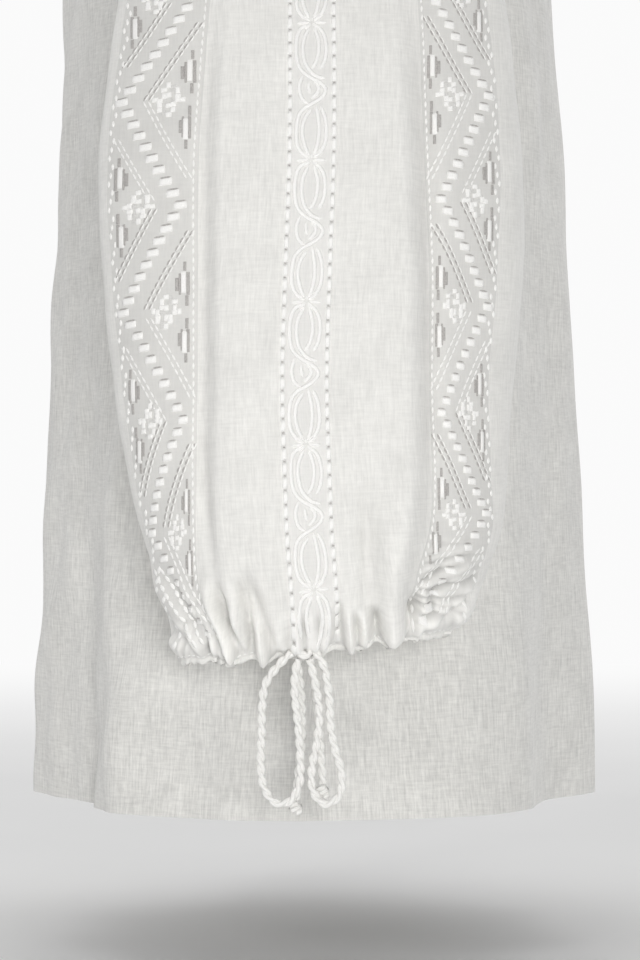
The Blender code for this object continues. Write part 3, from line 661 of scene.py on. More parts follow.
def cloth_shell(name, points, normals, across, up, material, mirrored=False, painted_shading=None):
    """A thin shell from a grid of the cloth's outside points."""
    rows, columns = points.shape[:2]
    both = np.concatenate([points.reshape(-1, 3), (points - normals * SHELL).reshape(-1, 3)])
    weave = np.tile(np.stack([across, up], axis=-1).reshape(-1, 2), (2, 1))
    # The painted shading, for both the outer and the inner grid.
    painted_shading_layers = None if painted_shading is None else np.tile(painted_shading.ravel(), 2)
    return make_mesh(
        name, both, wall_faces(rows, columns), material, weave, mirrored, painted_shading=painted_shading_layers
    )


def ring_band(name, sections, material, cloth_length, mirrored=False):
    """A closed band from a grid of section corners, one section for each place round it."""
    places, count = sections.shape[:2]
    i, k = np.meshgrid(np.arange(places), np.arange(count), indexing="ij")
    after = (i + 1) % places
    following = (k + 1) % count
    faces = np.stack([
        (i * count + k).ravel(), (after * count + k).ravel(),
        (after * count + following).ravel(), (i * count + following).ravel(),
    ], axis=-1)
    weave = np.stack([i / places * cloth_length, k / count * 0.02], axis=-1).reshape(-1, 2)
    return make_mesh(name, sections, faces, material, weave, mirrored, smooth_angle=120)


def seat(piece, node=None):
    """Makes a piece ride on the blouse's one body, in place of a CAD node if it has one."""
    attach(piece, "root")
    if node:
        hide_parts(node)


def declare_panel(piece, node):
    """Puts a cloth panel on the blouse's one body, in place of its CAD node."""
    seat(piece, node)


def declare_band(piece, node):
    """Puts a closed band along a line on the blouse's one body, in place of its CAD node."""
    seat(piece, node)


# ---------------------------------------------------------------- materials
class Nodes:
    """A short way to write a node tree."""

    def __init__(self, owner):
        owner.use_nodes = True
        self.owner = owner
        self.tree = owner.node_tree
        self.shader = self.tree.nodes.get("Principled BSDF")

    def link(self, output, socket):
        self.tree.links.new(output, socket)

    def add(self, kind, inputs=(), **settings):
        node = self.tree.nodes.new(kind)
        for key, value in settings.items():
            setattr(node, key, value)
        for key, value in dict(inputs).items():
            if isinstance(value, bpy.types.NodeSocket):
                self.link(value, node.inputs[key])
            else:
                node.inputs[key].default_value = value
        return node

    def math(self, operation, first, second=0.0):
        node = self.add("ShaderNodeMath", {0: first, 1: second}, operation=operation)
        return node.outputs[0]

    def total(self, *parts):
        """The sum of some values, each times its share."""
        scaled = [self.math("MULTIPLY", value, share) for value, share in parts]
        result = scaled[0]
        for part in scaled[1:]:
            result = self.math("ADD", result, part)
        return result

    def noise(self, vector, scale, detail=2.0, roughness=0.5, across=1.0, up=1.0):
        """Noise whose frequency is scale times across one way and scale times up the other."""
        mapping = self.add("ShaderNodeMapping", {"Vector": vector, "Scale": (across, up, 1.0)})
        node = self.add("ShaderNodeTexNoise", {
            "Vector": mapping.outputs[0], "Scale": scale, "Detail": detail, "Roughness": roughness,
        })
        return node.outputs["Fac"]

    def ramp(self, value, stops):
        node = self.add("ShaderNodeValToRGB", {"Fac": value})
        elements = node.color_ramp.elements
        while len(elements) < len(stops):
            elements.new(0.5)
        for element, (place, colour) in zip(elements, stops):
            element.position = place
            element.color = (*colour, 1.0)
        return node.outputs["Color"]

    def finish(self, colour, roughness, sheen, specular, relief):
        """Sets the shader. Relief is a height, the bump's strength and its distance."""
        self.link(colour, self.shader.inputs["Base Color"])
        self.shader.inputs["Roughness"].default_value = roughness
        self.shader.inputs["Sheen Weight"].default_value = sheen
        self.shader.inputs["Specular IOR Level"].default_value = specular
        height, strength, distance = relief
        bump = self.add("ShaderNodeBump", {
            "Height": height, "Strength": strength, "Distance": distance,
        })
        self.link(bump.outputs[0], self.shader.inputs["Normal"])
        return self.owner


def new_material(name):
    return Nodes(bpy.data.materials.new(name))


def cloth_coordinates(nodes):
    return nodes.add("ShaderNodeUVMap", uv_map="cloth").outputs["UV"]


def voile_material(name, tone, contrast, bump, painted_shading_strength=0.0):
    """Plain-weave cotton voile: uneven threads both ways, with thicker slubs among them.
    The last argument is the strength of the painted shade at the bottom of a crease and of the painted
    light on a ridge."""
    nodes = new_material(name)
    place = cloth_coordinates(nodes)
    warp = nodes.noise(place, 1.0, 3.0, 0.65, across=1100.0, up=110.0)
    weft = nodes.noise(place, 1.0, 3.0, 0.65, across=130.0, up=1100.0)
    warp_slubs = nodes.noise(place, 1.0, 1.0, 0.5, across=560.0, up=50.0)
    weft_slubs = nodes.noise(place, 1.0, 1.0, 0.5, across=90.0, up=620.0)
    cloudy = nodes.noise(place, 34.0, 3.0, 0.55)
    weave = nodes.total((warp, 0.42), (weft, 0.20), (warp_slubs, 0.22), (weft_slubs, 0.16))
    value = nodes.total((weave, 0.86), (cloudy, 0.14))
    dark = tuple(part * (1 - contrast) for part in tone)
    light = tuple(min(part * (1 + contrast), 0.97) for part in tone)
    colour = nodes.ramp(value, ((0.38, dark), (0.62, light)))
    # Painted shade and light: the colour is scaled by the painted shading stored on the mesh, darker in
    # creases and lighter where that value is negative.
    painted_shading = nodes.add("ShaderNodeAttribute", attribute_name="painted_shading").outputs["Fac"]
    painted_shading_factor = nodes.math("SUBTRACT", 1.0, nodes.math("MULTIPLY", painted_shading, painted_shading_strength))
    painted_shaded_colour = nodes.add("ShaderNodeVectorMath", {0: colour, "Scale": painted_shading_factor}, operation="SCALE")
    nodes.shader.inputs["Sheen Roughness"].default_value = 0.6
    return nodes.finish(painted_shaded_colour.outputs[0], 0.92, 0.30, 0.15, (weave, bump, 0.0004))


def thread_material(name, light, dark, scale):
    """Mercerised cotton thread: fine strands that catch the light a little."""
    nodes = new_material(name)
    place = nodes.add("ShaderNodeTexCoord").outputs["Object"]
    strands = nodes.noise(place, scale, 2.0, 0.6)
    colour = nodes.ramp(strands, ((0.35, dark), (0.62, light)))
    return nodes.finish(colour, 0.6, 0.2, 0.3, (strands, 0.5, 0.0003))


def cord_material():
    """Soft two-ply cotton: each ply is spun of finer yarn."""
    nodes = new_material("cotton_cord")
    place = cloth_coordinates(nodes)
    yarn = nodes.noise(place, 1.0, 2.0, 0.6, across=1400.0, up=260.0)
    fuzz = nodes.noise(place, 900.0, 2.0, 0.6)
    value = nodes.total((yarn, 0.7), (fuzz, 0.3))
    colour = nodes.ramp(value, ((0.36, (0.80, 0.79, 0.765)), (0.62, (0.93, 0.925, 0.905))))
    return nodes.finish(colour, 0.85, 0.35, 0.15, (value, 0.6, 0.0003))


def studio_light(nodes, direction):
    """How bright the studio is in a direction: brightest on the side behind the blouse."""
    parts = nodes.add("ShaderNodeSeparateXYZ", {0: direction})
    return nodes.add("ShaderNodeMapRange", {
        "Value": parts.outputs["X"], "From Min": -0.5, "From Max": 0.4,
        "To Min": BACK_LIGHT, "To Max": FRONT_LIGHT,
    }, interpolation_type="SMOOTHSTEP").outputs[0]


def floor_material():
    """A white floor that melts into the studio's own light further out."""
    nodes = new_material("studio_floor")
    place = nodes.add("ShaderNodeTexCoord").outputs["Object"]
    cloudy = nodes.add("ShaderNodeTexNoise", {"Vector": place, "Scale": 3.0}).outputs["Fac"]
    colour = nodes.ramp(cloudy, ((0.3, (0.90, 0.90, 0.90)), (0.7, (0.93, 0.93, 0.93))))
    nodes.link(colour, nodes.shader.inputs["Base Color"])
    nodes.shader.inputs["Roughness"].default_value = 0.9
    way = nodes.add("ShaderNodeVectorMath", {0: place}, operation="NORMALIZE").outputs[0]
    glow = nodes.add("ShaderNodeEmission", {"Strength": studio_light(nodes, way)})
    far = nodes.add("ShaderNodeVectorMath", {0: place}, operation="LENGTH").outputs["Value"]
    share = nodes.add("ShaderNodeMapRange", {
        "Value": far, "From Min": 0.6, "From Max": 3.2,
    }, interpolation_type="SMOOTHSTEP").outputs[0]
    mixed = nodes.add("ShaderNodeMixShader", {0: share})
    nodes.link(nodes.shader.outputs[0], mixed.inputs[1])
    nodes.link(glow.outputs[0], mixed.inputs[2])
    nodes.link(mixed.outputs[0], nodes.tree.nodes["Material Output"].inputs["Surface"])
    return nodes.owner


# ---------------------------------------------------------------- embroidery
UNDER_CLOTH = -0.00015  # where a stitch's rim lies, just under the cloth's outside


class Stitching:
    """Collects raised stitches as quads and lays them on a sleeve as one piece."""

    def __init__(self, chart):
        self.chart = chart
        self.points = []
        self.faces = []
        self.count = 0

    def patch(self, across, up, lift):
        """A grid of raised points, from their places and their lift off the cloth."""
        rows, columns = across.shape
        placed = self.chart.place(across.ravel(), up.ravel(), lift.ravel())
        i, j = np.meshgrid(np.arange(rows - 1), np.arange(columns - 1), indexing="ij")
        a = (i * columns + j).ravel() + self.count
        self.points.append(placed)
        self.faces.append(np.stack([a, a + 1, a + columns + 1, a + columns], axis=-1))
        self.count += len(placed)

    def bar(self, start, end, width, height):
        """A rounded stitch from one place to another."""
        self.line(np.array([start, end], dtype=float), width, height, 0.0012)

    def line(self, route, width, height, spacing):
        """A satin cord along a route of places across and up the cloth."""
        route = even_route(route, spacing)
        way = unit(np.gradient(route, axis=0))
        steps = distances(route)
        ends = np.minimum(steps, steps[-1] - steps)
        taper = np.sqrt(np.clip(ends / (width * 0.55), 0.06, 1.0))[:, None]
        # From right to left, so that the faces look outwards.
        offsets = np.array([0.5, 0.36, 0.0, -0.36, -0.5]) * width * taper
        across = route[:, :1] + way[:, 1:] * offsets
        up = route[:, 1:] - way[:, :1] * offsets
        lift = np.array([0.0, 0.72, 1.0, 0.72, 0.0]) * height * taper
        self.patch(across, up, np.where(lift > 0, lift, UNDER_CLOTH))

    def block(self, centre, width, depth, height, lean=0.0):
        """A satin-stitched block with rounded edges, sheared by its lean."""
        edge = np.array([-0.5, -0.44, -0.2, 0.2, 0.44, 0.5])
        rim = np.array([0.0, 0.85, 1.0, 1.0, 0.85, 0.0])
        across = centre[0] + np.broadcast_to(edge[None, :], (6, 6)) * width
        up = centre[1] + edge[:, None] * depth + edge[None, :] * width * lean
        lift = np.minimum(rim[:, None], rim[None, :]) * height
        self.patch(across, up, np.where(lift > 0, lift, UNDER_CLOTH))

    def finish(self, name, material, mirrored, slot):
        """Makes one piece of all the stitches collected."""
        piece = make_mesh(
            name, np.concatenate(self.points), np.concatenate(self.faces), material, None,
            mirrored, smooth_angle=75,
        )
        seat(piece)


CHAIN_PERIOD = 0.0693
CHAIN_DRAWN = 74.0  # length of the drawing below, which is fitted to a period
CHAIN_STAR_HEIGHT = -0.4257  # height of one star; the others lie whole periods from it
EMBROIDERY_STOPS = {"strip": (0.004, 0.010), "band": (0.006, 0.012)}  # short of cuff and neck
# One repeat of the chain in millimetres from its star: places across, and down the strip.
CHAIN_CURVES = (
    ((-2.5, 1.5), (-6.4, 5), (-7.8, 13), (-7.2, 22), (-5, 27), (-1, 30.5), (4, 33.5),
     (6.6, 37), (5, 41), (1, 44), (-3.5, 46.8), (-6.6, 51), (-7.7, 59), (-7, 67), (-3.5, 72.5)),
    ((-1.2, 3), (-3.8, 9), (-4.5, 15), (-3.6, 22), (-1.4, 26.5), (2.0, 29.8), (6.2, 31.0)),
    ((1.2, 3), (3.0, 10), (3.2, 16), (2.0, 22), (-0.2, 26)),
    ((2.6, 2), (5.8, 7), (6.9, 14), (6.2, 21), (4.0, 26)),
    ((-4.6, 29.5), (-6.1, 34), (-6.2, 38), (-4.8, 42.4), (-1.8, 44.6)),
    ((-1.6, 33), (-1.7, 36), (-0.8, 39.4)),
    ((0.8, 32.2), (3.0, 35.4), (2.6, 38.8), (-0.4, 42.0)),
    ((-0.6, 47.5), (-3.8, 53), (-4.8, 60), (-3.4, 67), (-1.2, 72)),
    ((1.8, 45.6), (3.0, 53), (3.4, 60), (2.4, 67), (0.9, 72)),
    ((4.0, 46.0), (6.2, 52), (6.9, 59), (6.2, 66), (3.0, 72)),
)
STAR_RAYS = ((-7.3, 0.9), (-5.4, -3.6), (5.2, -3.9), (7.2, 0.6), (-3.4, 3.8), (3.6, 3.9), (0.2, -2.6))


def reach_of(chart, part):
    """The lowest and the highest place of a part's embroidery."""
    low, high = EMBROIDERY_STOPS[part]
    return chart.heights[0] + low, chart.heights[-1] - high


def embroider_strip(stitches, painted_shadows, chart):
    """The interlaced chain down the centre strip, a star at each repeat."""
    bottom, top = reach_of(chart, "strip")
    for repeat in range(-3, 9):
        star = CHAIN_STAR_HEIGHT + repeat * CHAIN_PERIOD

        def place(point):
            height = star - point[1] / CHAIN_DRAWN * CHAIN_PERIOD
            narrow = half_strip_width(chart.at(chart.half, height)) / (STRIP_WIDTH / 2)
            return chart.at(chart.strip, height) + point[0] * MM * narrow, height

        for curve in CHAIN_CURVES:
            route = np.array([place(point) for point in curve])
            route = route[(route[:, 1] < top) & (route[:, 1] > bottom)]
            if len(route) > 1:
                stitches.line(route, width=0.0018, height=0.0009, spacing=0.0016)
                # Painted shadow: a wider grey line under each strand, for the shade along its sides.
                painted_shadows.line(route, width=0.0027, height=0.00008, spacing=0.0022)
        for ray in STAR_RAYS:
            start = place((ray[0] * 0.18, ray[1] * 0.18))
            end = place(ray)
            if bottom < end[1] < top:
                stitches.bar(start, end, width=0.0017, height=0.0011)


def embroider_hemstitch(stitches, painted_hole_shade, painted_shadows, chart):
    """White bars along both seams of the centre strip, with a small grey spot between each two, painted
    shade for the hole there.
    """
    pitch = 0.00685
    heights = np.arange(*reach_of(chart, "strip"), pitch)
    for side in (-1, 1):
        places = chart.at(chart.strip, heights)
        places = places + side * half_strip_width(chart.at(chart.half, heights))
        # Painted shade: a grey line in the drawn channel along each seam, under the bars.
        painted_shadows.line(np.stack([places, heights], axis=-1), width=0.0027, height=0.00006, spacing=0.0022)
        for across, height in zip(places, heights):
            stitches.block((across, height), width=0.0023, depth=0.0052, height=0.0012, lean=0.10)
            painted_hole_shade.block((across, height + pitch / 2), width=0.0012, depth=0.0008, height=0.00016)


ZIGZAG_TURNS = {-1: -0.430, 1: -0.427}  # height of one outer turn of each band
ZIGZAG_HALF_PERIOD = 0.0528
ZIGZAG_STEPS = 9
ZIGZAG_SPREAD = 0.70  # how far across the band it goes, as a share of the band's width
ZIGZAG_OUTERMOST = 0.885  # the share at which it turns back
ZIGZAG_BLOCK = (0.0065, 0.0034, 0.0009)  # width, depth and height of one satin block
ZIGZAG_LEAN = 0.14  # how much a block slants: its fall over its width
STEM_OFFSET = 0.27  # how far from the zigzag its stems run, as a share of the band's width
STEM_STEP = 0.0036  # length of one stitch of a stem with the gap after it
BAND_WIDTH = 0.046  # where the band is this wide, its embroidery has its full size


class Band:
    """One embroidered band: places across it run from 0 at the plain panel to 1 outside."""

    def __init__(self, chart, side):
        self.chart = chart
        self.side = side
        name = "back" if side == 1 else "front"
        self.seam = chart.values(f"{name}_seam")
        self.edge = chart.values(f"{name}_edge")
        self.turn = ZIGZAG_TURNS[side]
        self.bottom, self.top = reach_of(chart, "band")

    def across(self, share, height):
        at = self.chart.at
        seam = at(self.seam, height)
        away = at(self.chart.half, height) * (seam + share * (at(self.edge, height) - seam))
        return at(self.chart.centre, height) + self.side * away

    def scale(self, height):
        """How wide the band is, as a share of its full width."""
        at = self.chart.at
        width = at(self.chart.half, height) * (at(self.edge, height) - at(self.seam, height))
        return width / BAND_WIDTH

    def zigzag(self, height):
        """Where the zigzag runs: outermost at each even turn, innermost at each odd one."""
        turn = (height - self.turn) / ZIGZAG_HALF_PERIOD
        return ZIGZAG_OUTERMOST - ZIGZAG_SPREAD * abs((turn + 1) % 2 - 1)


def embroider_band(white, painted_shade_grey, painted_shadows, band):
    """A zigzag of satin blocks, each with a shaded gap over it, and all that goes with it."""
    step = ZIGZAG_HALF_PERIOD / ZIGZAG_STEPS
    first = math.ceil((band.bottom - band.turn) / step)
    last = math.floor((band.top - band.turn) / step)
    lean = -ZIGZAG_LEAN * band.side
    for k in range(first, last + 1):
        height = band.turn + k * step
        across = band.across(band.zigzag(height), height)
        near_cuff = 0.6 + 0.4 * float(smooth_step((height + 0.585) / 0.05))
        wide = ZIGZAG_BLOCK[0] * max(band.scale(height), 0.62)
        deep, thick = ZIGZAG_BLOCK[1] * near_cuff, ZIGZAG_BLOCK[2] * near_cuff
        white.block((across, height), wide, deep, thick, lean)
        reach = wide * 0.42
        middle = height + 0.00215
        start = (across - reach, middle - reach * lean)
        end = (across + reach, middle + reach * lean)
        # Painted shade: a grey bar in the gap over each block.
        painted_shade_grey.bar(start, end, width=0.0009, height=0.0002)
    for offset in (-STEM_OFFSET, STEM_OFFSET):
        embroider_stems(white, painted_shade_grey, painted_shadows, band, offset)
    for turn in range(-4, 16):
        height = band.turn + turn * ZIGZAG_HALF_PERIOD
        if band.bottom + 0.012 < height < band.top - 0.02:
            embroider_triangle(white, painted_shade_grey, painted_shadows, band, height, turn % 2 == 0)
    embroider_edges(white, band)


def embroider_stems(white, painted_shade_grey, painted_shadows, band, offset):
    """Two close lines of short stitches that follow the zigzag. Where they rise towards the plain
    panel they are painted grey, a painted dark sheen of the white thread, with a white line
    beside; where they fall they are white ones, with a painted shadow line beside them."""
    reach = STEM_STEP * 0.84
    straightest = ZIGZAG_SPREAD * reach / ZIGZAG_HALF_PERIOD
    for height in np.arange(band.bottom, band.top, STEM_STEP):
        middle = band.zigzag(height) + offset
        after = band.zigzag(height + reach) + offset
        turns = abs(after - middle) <= 0.8 * straightest
        if turns or not (0.05 < middle < 0.95 and 0.05 < after < 0.95):
            continue
        # Rising stitches are painted grey for a painted dark sheen; falling ones get a painted shadow
        # line.
        drawn = after < middle
        first = np.array([band.across(middle, height), height])
        last = np.array([band.across(after, height + reach), height + reach])
        for gap in (-0.0013, 0.0013):
            start, end = first + (gap, 0), last + (gap, 0)
            if drawn:
                painted_shade_grey.bar(start, end, width=0.0011, height=0.0003)
                white.bar(start + (0.0008, 0), end + (0.0008, 0), width=0.0008, height=0.0003)
            else:
                white.bar(start, end, width=0.0010, height=0.0003)
                # Painted shadow: a grey line beside each white stem stitch.
                painted_shadows.bar(start - (0.0006, 0), end - (0.0006, 0), width=0.0006, height=0.0001)


# The stepped cross, in cells: w is a white block and g is a grey one, painted shade among the white
# blocks.
CROSS_CHART = (
    "..gw...",
    ".wg.w..",
    ".w.ww..",
    "wwg.gww",
    "..ww.w.",
    "..w.gw.",
    "...wg..",
)
CROSS_CELL = (0.0023, 0.0024)
# Openwork bars above each cross, in millimetres: how far they lie from the bars' own line
# towards the zigzag, and how far up from the cross's middle. They are mirrored below it.
# The bars not marked white are grey: the openwork, painted with the shade seen through it.
BAR_COLUMNS = ("low", "high", "from_middle", "to_middle", "white")
BAR_CELLS = (
    (-0.3, 1.3, 20.3, 25.0, False),
    (-0.1, 2.6, 9.3, 20.2, True),
    (2.6, 3.8, 8.3, 19.3, False),
    (3.8, 5.7, 10.2, 17.0, False),
    (-2.0, -0.2, 8.2, 20.0, False),
    (-1.3, 0.4, 3.0, 8.3, False),
)


def embroider_triangle(white, painted_shade_grey, painted_shadows, band, height, inner):
    """A stepped cross and openwork bars in the triangle beside a turn of the zigzag."""
    scale = min(1.0, band.scale(height))
    cross = band.across(0.36 if inner else 0.64, height)
    embroider_cross(white, painted_shadows, cross, height, scale, band.side)
    towards = band.side if inner else -band.side
    for row in BAR_CELLS:
        cell = named(BAR_COLUMNS, row)
        width = (cell["high"] - cell["low"]) * MM * scale
        depth = (cell["to_middle"] - cell["from_middle"]) * MM
        for sign, wide in ((-1, 0.75), (1, 1.0)):
            up = height + sign * (cell["from_middle"] + cell["to_middle"]) / 2 * MM
            shift = (cell["low"] + cell["high"]) / 2 * wide
            across = band.across(0.13 if inner else 0.87, up) + towards * shift * MM * scale
            if cell["white"]:
                white.block((across, up), width, depth, 0.0006)
            else:
                # Painted shade: the grey bars stand for the shade seen through the openwork.
                painted_shade_grey.block((across, up), width, depth, 0.0004)


def embroider_cross(white, painted_shadows, middle, height, scale, side):
    """One stepped cross, its blocks a little uneven in size and place."""
    wide, deep = CROSS_CELL
    for i, row in enumerate(CROSS_CHART):
        for j, cell in enumerate(row):
            if cell == ".":
                continue
            across = middle + (j - (len(row) - 1) / 2) * wide * scale * side
            up = height - (i - (len(CROSS_CHART) - 1) / 2) * deep
            up += 0.0004 * math.sin(4.1 * j + 2.3 * i + 70 * height)
            uneven = 1 + 0.20 * math.sin(3.7 * i + 5.3 * j + 90 * height)
            width, depth = wide * 1.20 * scale * uneven, deep * 1.10 / uneven
            if cell == "w":
                white.block((across, up), width, depth, height=0.0006, lean=0.1)
            else:
                # Painted shade: a grey block in each of the cross's g cells.
                painted_shadows.block((across, up), width, depth * 0.6, height=0.0002, lean=0.1)


def embroider_edges(white, band):
    """Running stitches inside both seams of a band; the outer ones step out in threes."""
    pitch, half_length = 0.00435, 0.0016
    for k, height in enumerate(np.arange(band.bottom, band.top, pitch)):
        outer = band.across(0.955, height) - band.side * (k % 3 - 1) * 0.0010
        inner = band.across(0.05, height)
        for across, width, thick in ((outer, 0.0014, 0.0006), (inner, 0.0011, 0.0004)):
            white.bar((across, height - half_length), (across, height + half_length), width, thick)


def embroider(side, chart, materials):
    """All the stitches of one sleeve, joined into one piece for each kind."""
    painted_shadows, white, painted_shade_grey, strip = (Stitching(chart) for _ in range(4))
    embroider_strip(strip, painted_shadows, chart)
    embroider_hemstitch(strip, painted_shade_grey, painted_shadows, chart)
    for band_side in (-1, 1):
        embroider_band(white, painted_shade_grey, painted_shadows, Band(chart, band_side))
    for name, stitches, material, slot in (
        ("painted_shadow_ground", painted_shadows, "painted_shadows", "centre_strip"),
        ("band_embroidery", white, "white", "embroidered_band"),
        ("openwork_and_painted_shade", painted_shade_grey, "painted_shade_grey", "embroidered_band"),
        ("strip_embroidery", strip, "bright", "centre_strip"),
    ):
        stitches.finish(f"{side}_{name}", materials[material], side == "right", slot)


def add_sleeve(side, sleeve, materials):
    """The seven cloth pieces of one sleeve, each cut from the sleeve's one surface."""
    start = 0
    for piece, columns in SLEEVE_PIECES:
        own = slice(start, start + columns + 1)
        # Each piece also takes its share of the painted crease shading.
        points, normals, across, up, painted_shading = (
            sleeve[name][:, own] for name in ("points", "normals", "across", "up", "painted_shading")
        )
        kind = "band" if "band" in piece else ("strip" if piece == "strip" else "voile")
        name = f"{side}_{piece}"
        shell = cloth_shell(
            f"{name}_cloth", points, normals, across, up, materials[kind], side == "right", painted_shading
        )
        declare_panel(shell, name)
        start += columns


CASING_SECTION = (
    # out from the cloth's edge and down from it, in millimetres, round the roll
    (-0.3, -0.4), (0.1, 0.8), (0.0, 2.0), (-0.9, 3.0), (-2.2, 3.1), (-3.2, 2.2), (-3.5, 0.8),
    (-3.0, -0.6), (-1.9, -1.2),
)


def add_casing(side, sleeve, materials):
    """The rolled channel at the cuff, uneven where the gathers run into it, and its stitches."""
    points, normals = sleeve["points"], sleeve["normals"]
    mirrored = side == "right"
    edge = points[0, :-1]
    out = unit(normals[0, :-1] * np.array([1.0, 1.0, 0.0]))
    down = np.array([0.0, 0.0, -1.0])
    turn = np.arange(len(edge)) / len(edge) * 2 * math.pi
    lumps = (0.5 + 0.5 * np.sin(turn * 41 + 1.7 * np.sin(turn * 5)))[:, None]
    thick, deep = 0.85 + 0.25 * lumps, 0.84 + 0.20 * lumps
    clear = 0.00015  # how far the roll's own edges stand off the cloth
    sections = [
        points[1, :-1] + normals[1, :-1] * clear,
        *(edge + out * away * MM * thick + down * low * MM * deep for away, low in CASING_SECTION),
        points[1, :-1] - normals[1, :-1] * (SHELL + clear),
    ]
    sections = np.stack(sections, axis=1)[:, ::-1]
    roll = ring_band(f"{side}_casing_roll", sections, materials["voile"], 0.31, mirrored)
    declare_band(roll, f"{side}_casing")
    stitches = ring_stitches(points[2], normals[2], pitch=0.0034, length=0.0022, width=0.0009)
    row = make_mesh(f"{side}_casing_stitches", *stitches, materials["white"], None, mirrored)
    seat(row)


def ring_stitches(line, normals, pitch, length, width):
    """Points and faces of small raised stitches along a line on the cloth."""
    along = distances(line)
    starts = np.arange(pitch / 2, along[-1] - length, pitch)
    places = starts[:, None] + np.linspace(0, length, 4)[None, :]
    centre = at_distances(places, along, line)
    away = unit(at_distances(places, along, normals))
    side = np.cross(away, unit(np.gradient(centre, axis=1)))
    rise = np.array([0.25, 1.0, 1.0, 0.25])[None, :, None]
    rows = [
        centre + side * across * width * (0.5 + 0.5 * rise) + away * lift * rise
        for across, lift in ((-0.5, -0.0001), (-0.28, 0.0004), (0.28, 0.0004), (0.5, -0.0001))
    ]
    points = np.stack(rows, axis=1)
    stitch, i, j = np.meshgrid(np.arange(len(starts)), np.arange(3), np.arange(3), indexing="ij")
    a = (stitch * 16 + i * 4 + j).ravel()
    return points.reshape(-1, 3), np.stack([a, a + 1, a + 5, a + 4], axis=-1)


def half_ring(side, middle_y, middle_z, count, back):
    """A row from one side to the other round the front or the back. Side is the point at +X."""
    turns = np.linspace(0.0, math.pi, count * 8 + 1)
    rise = np.sin(turns) ** 0.9
    x = side[0] * np.cos(turns)
    y = side[1] + (middle_y - side[1]) * rise
    z = side[2] + (middle_z - side[2]) * np.sin(turns) ** 1.3
    curve = np.stack([x, y, z], axis=-1)
    if not back:
        curve = curve[::-1]
    along = distances(curve)
    stops = np.linspace(0.0, along[-1], count + 1)
    return at_distances(stops, along, curve), stops - along[-1] / 2


def flute_relief(points):
    """How far the body cloth stands out in its flutes, which open towards the hem."""
    angle = np.degrees(np.arctan2(points[..., 1], points[..., 0]))
    total = np.zeros(angle.shape)
    for row in BODY_FLUTES:
        flute = named(FLUTE_COLUMNS, row)
        away = (angle - flute["angle"] + 180) % 360 - 180
        total += flute["height"] * np.exp(-((away / flute["half_angle"]) ** 2))
    return total * smooth_step((FLUTE_TOP - points[..., 2]) / (FLUTE_TOP - HEM_Z))


def body_surface(back, sleeve):
    """The front or the back, its upper rows on the rows of the sleeve's raglan edge."""
    rings = between_rows(BODY_RINGS, np.linspace(0, len(BODY_RINGS) - 1, BODY_MESH_ROWS))
    places, _, underarm = row_places()
    yoke_table = np.vstack([BODY_RINGS[-1], YOKE_ROWS])
    yoke = between_rows(yoke_table, places[underarm + 1:] - UNDERARM_ROW)
    edge = sleeve["points"][underarm + 1:, -1 if back else 0]
    panel = "back" if back else "front"
    y, z = (BODY_COLUMNS.index(f"{panel}_{axis}") for axis in "yz")
    sides = [(values[0], 0.0, values[z]) for values in rings] + list(edge)
    rows = [
        half_ring(side, values[y], values[z], BODY_MESH_COLUMNS, back)
        for side, values in zip(sides, np.vstack([rings, yoke]))
    ]
    base, across = (np.array(part) for part in zip(*rows))
    climb = distances(base[:, BODY_MESH_COLUMNS // 2])
    up = np.broadcast_to(climb[:, None], across.shape)
    relief = flute_relief(base)
    relief = relief + soft_waves(across, up, 21 if back else 17, 0.0016)
    relief = relief + neck_pleats(across, climb[-1] - up, 0.0085, 0.0021, 31 if back else 29)
    calm = smooth_step(to_edge(BODY_MESH_COLUMNS + 1) / 8.0)[None, :]
    low = np.arange(len(base))[:, None] < len(rings) - 6
    relief = np.where(low, relief, relief * calm)
    points = base + grid_normals(base) * relief[..., None]
    points[:len(rings), [0, -1]] = base[:len(rings), [0, -1]]
    return points, across, up


def add_body(node, points, across, up, materials):
    shell = cloth_shell(
        f"{node}_cloth", points, grid_normals(points), across, up, materials["body"]
    )
    declare_panel(shell, node)


def add_neck_binding(front, back, left, material):
    """The narrow band round the neck that holds the gathers of all four panels."""
    right = left[::-1] * np.array([-1.0, 1.0, 1.0])
    smooth = np.concatenate([front[:-1], left[:-1], back[:-1], right[:-1]])
    for _ in range(60):
        smooth = (np.roll(smooth, 1, axis=0) + 2 * smooth + np.roll(smooth, -1, axis=0)) / 4
    along = np.roll(smooth, -1, axis=0) - np.roll(smooth, 1, axis=0)
    away = unit(np.stack([along[:, 1], -along[:, 0], np.zeros(len(along))], axis=-1))
    up = unit(np.array([0.0, 0.0, 1.0]) - away * BINDING_LEAN)
    base = smooth - away * SHELL / 2 - up * BINDING_LAP
    angles = 2 * math.pi * np.arange(12) / 12
    bulges = signed_power(np.cos(angles), 0.6) * BINDING_THICK / 2
    rises = (0.5 + 0.5 * signed_power(np.sin(angles), 0.6)) * (BINDING_DEPTH + BINDING_LAP)
    sections = [base + away * bulge + up * rise for bulge, rise in zip(bulges, rises)]
    sections = np.stack(sections, axis=1)
    piece = ring_band("neck_binding_cloth", sections, material, 0.62)
    declare_band(piece, "neck_binding")


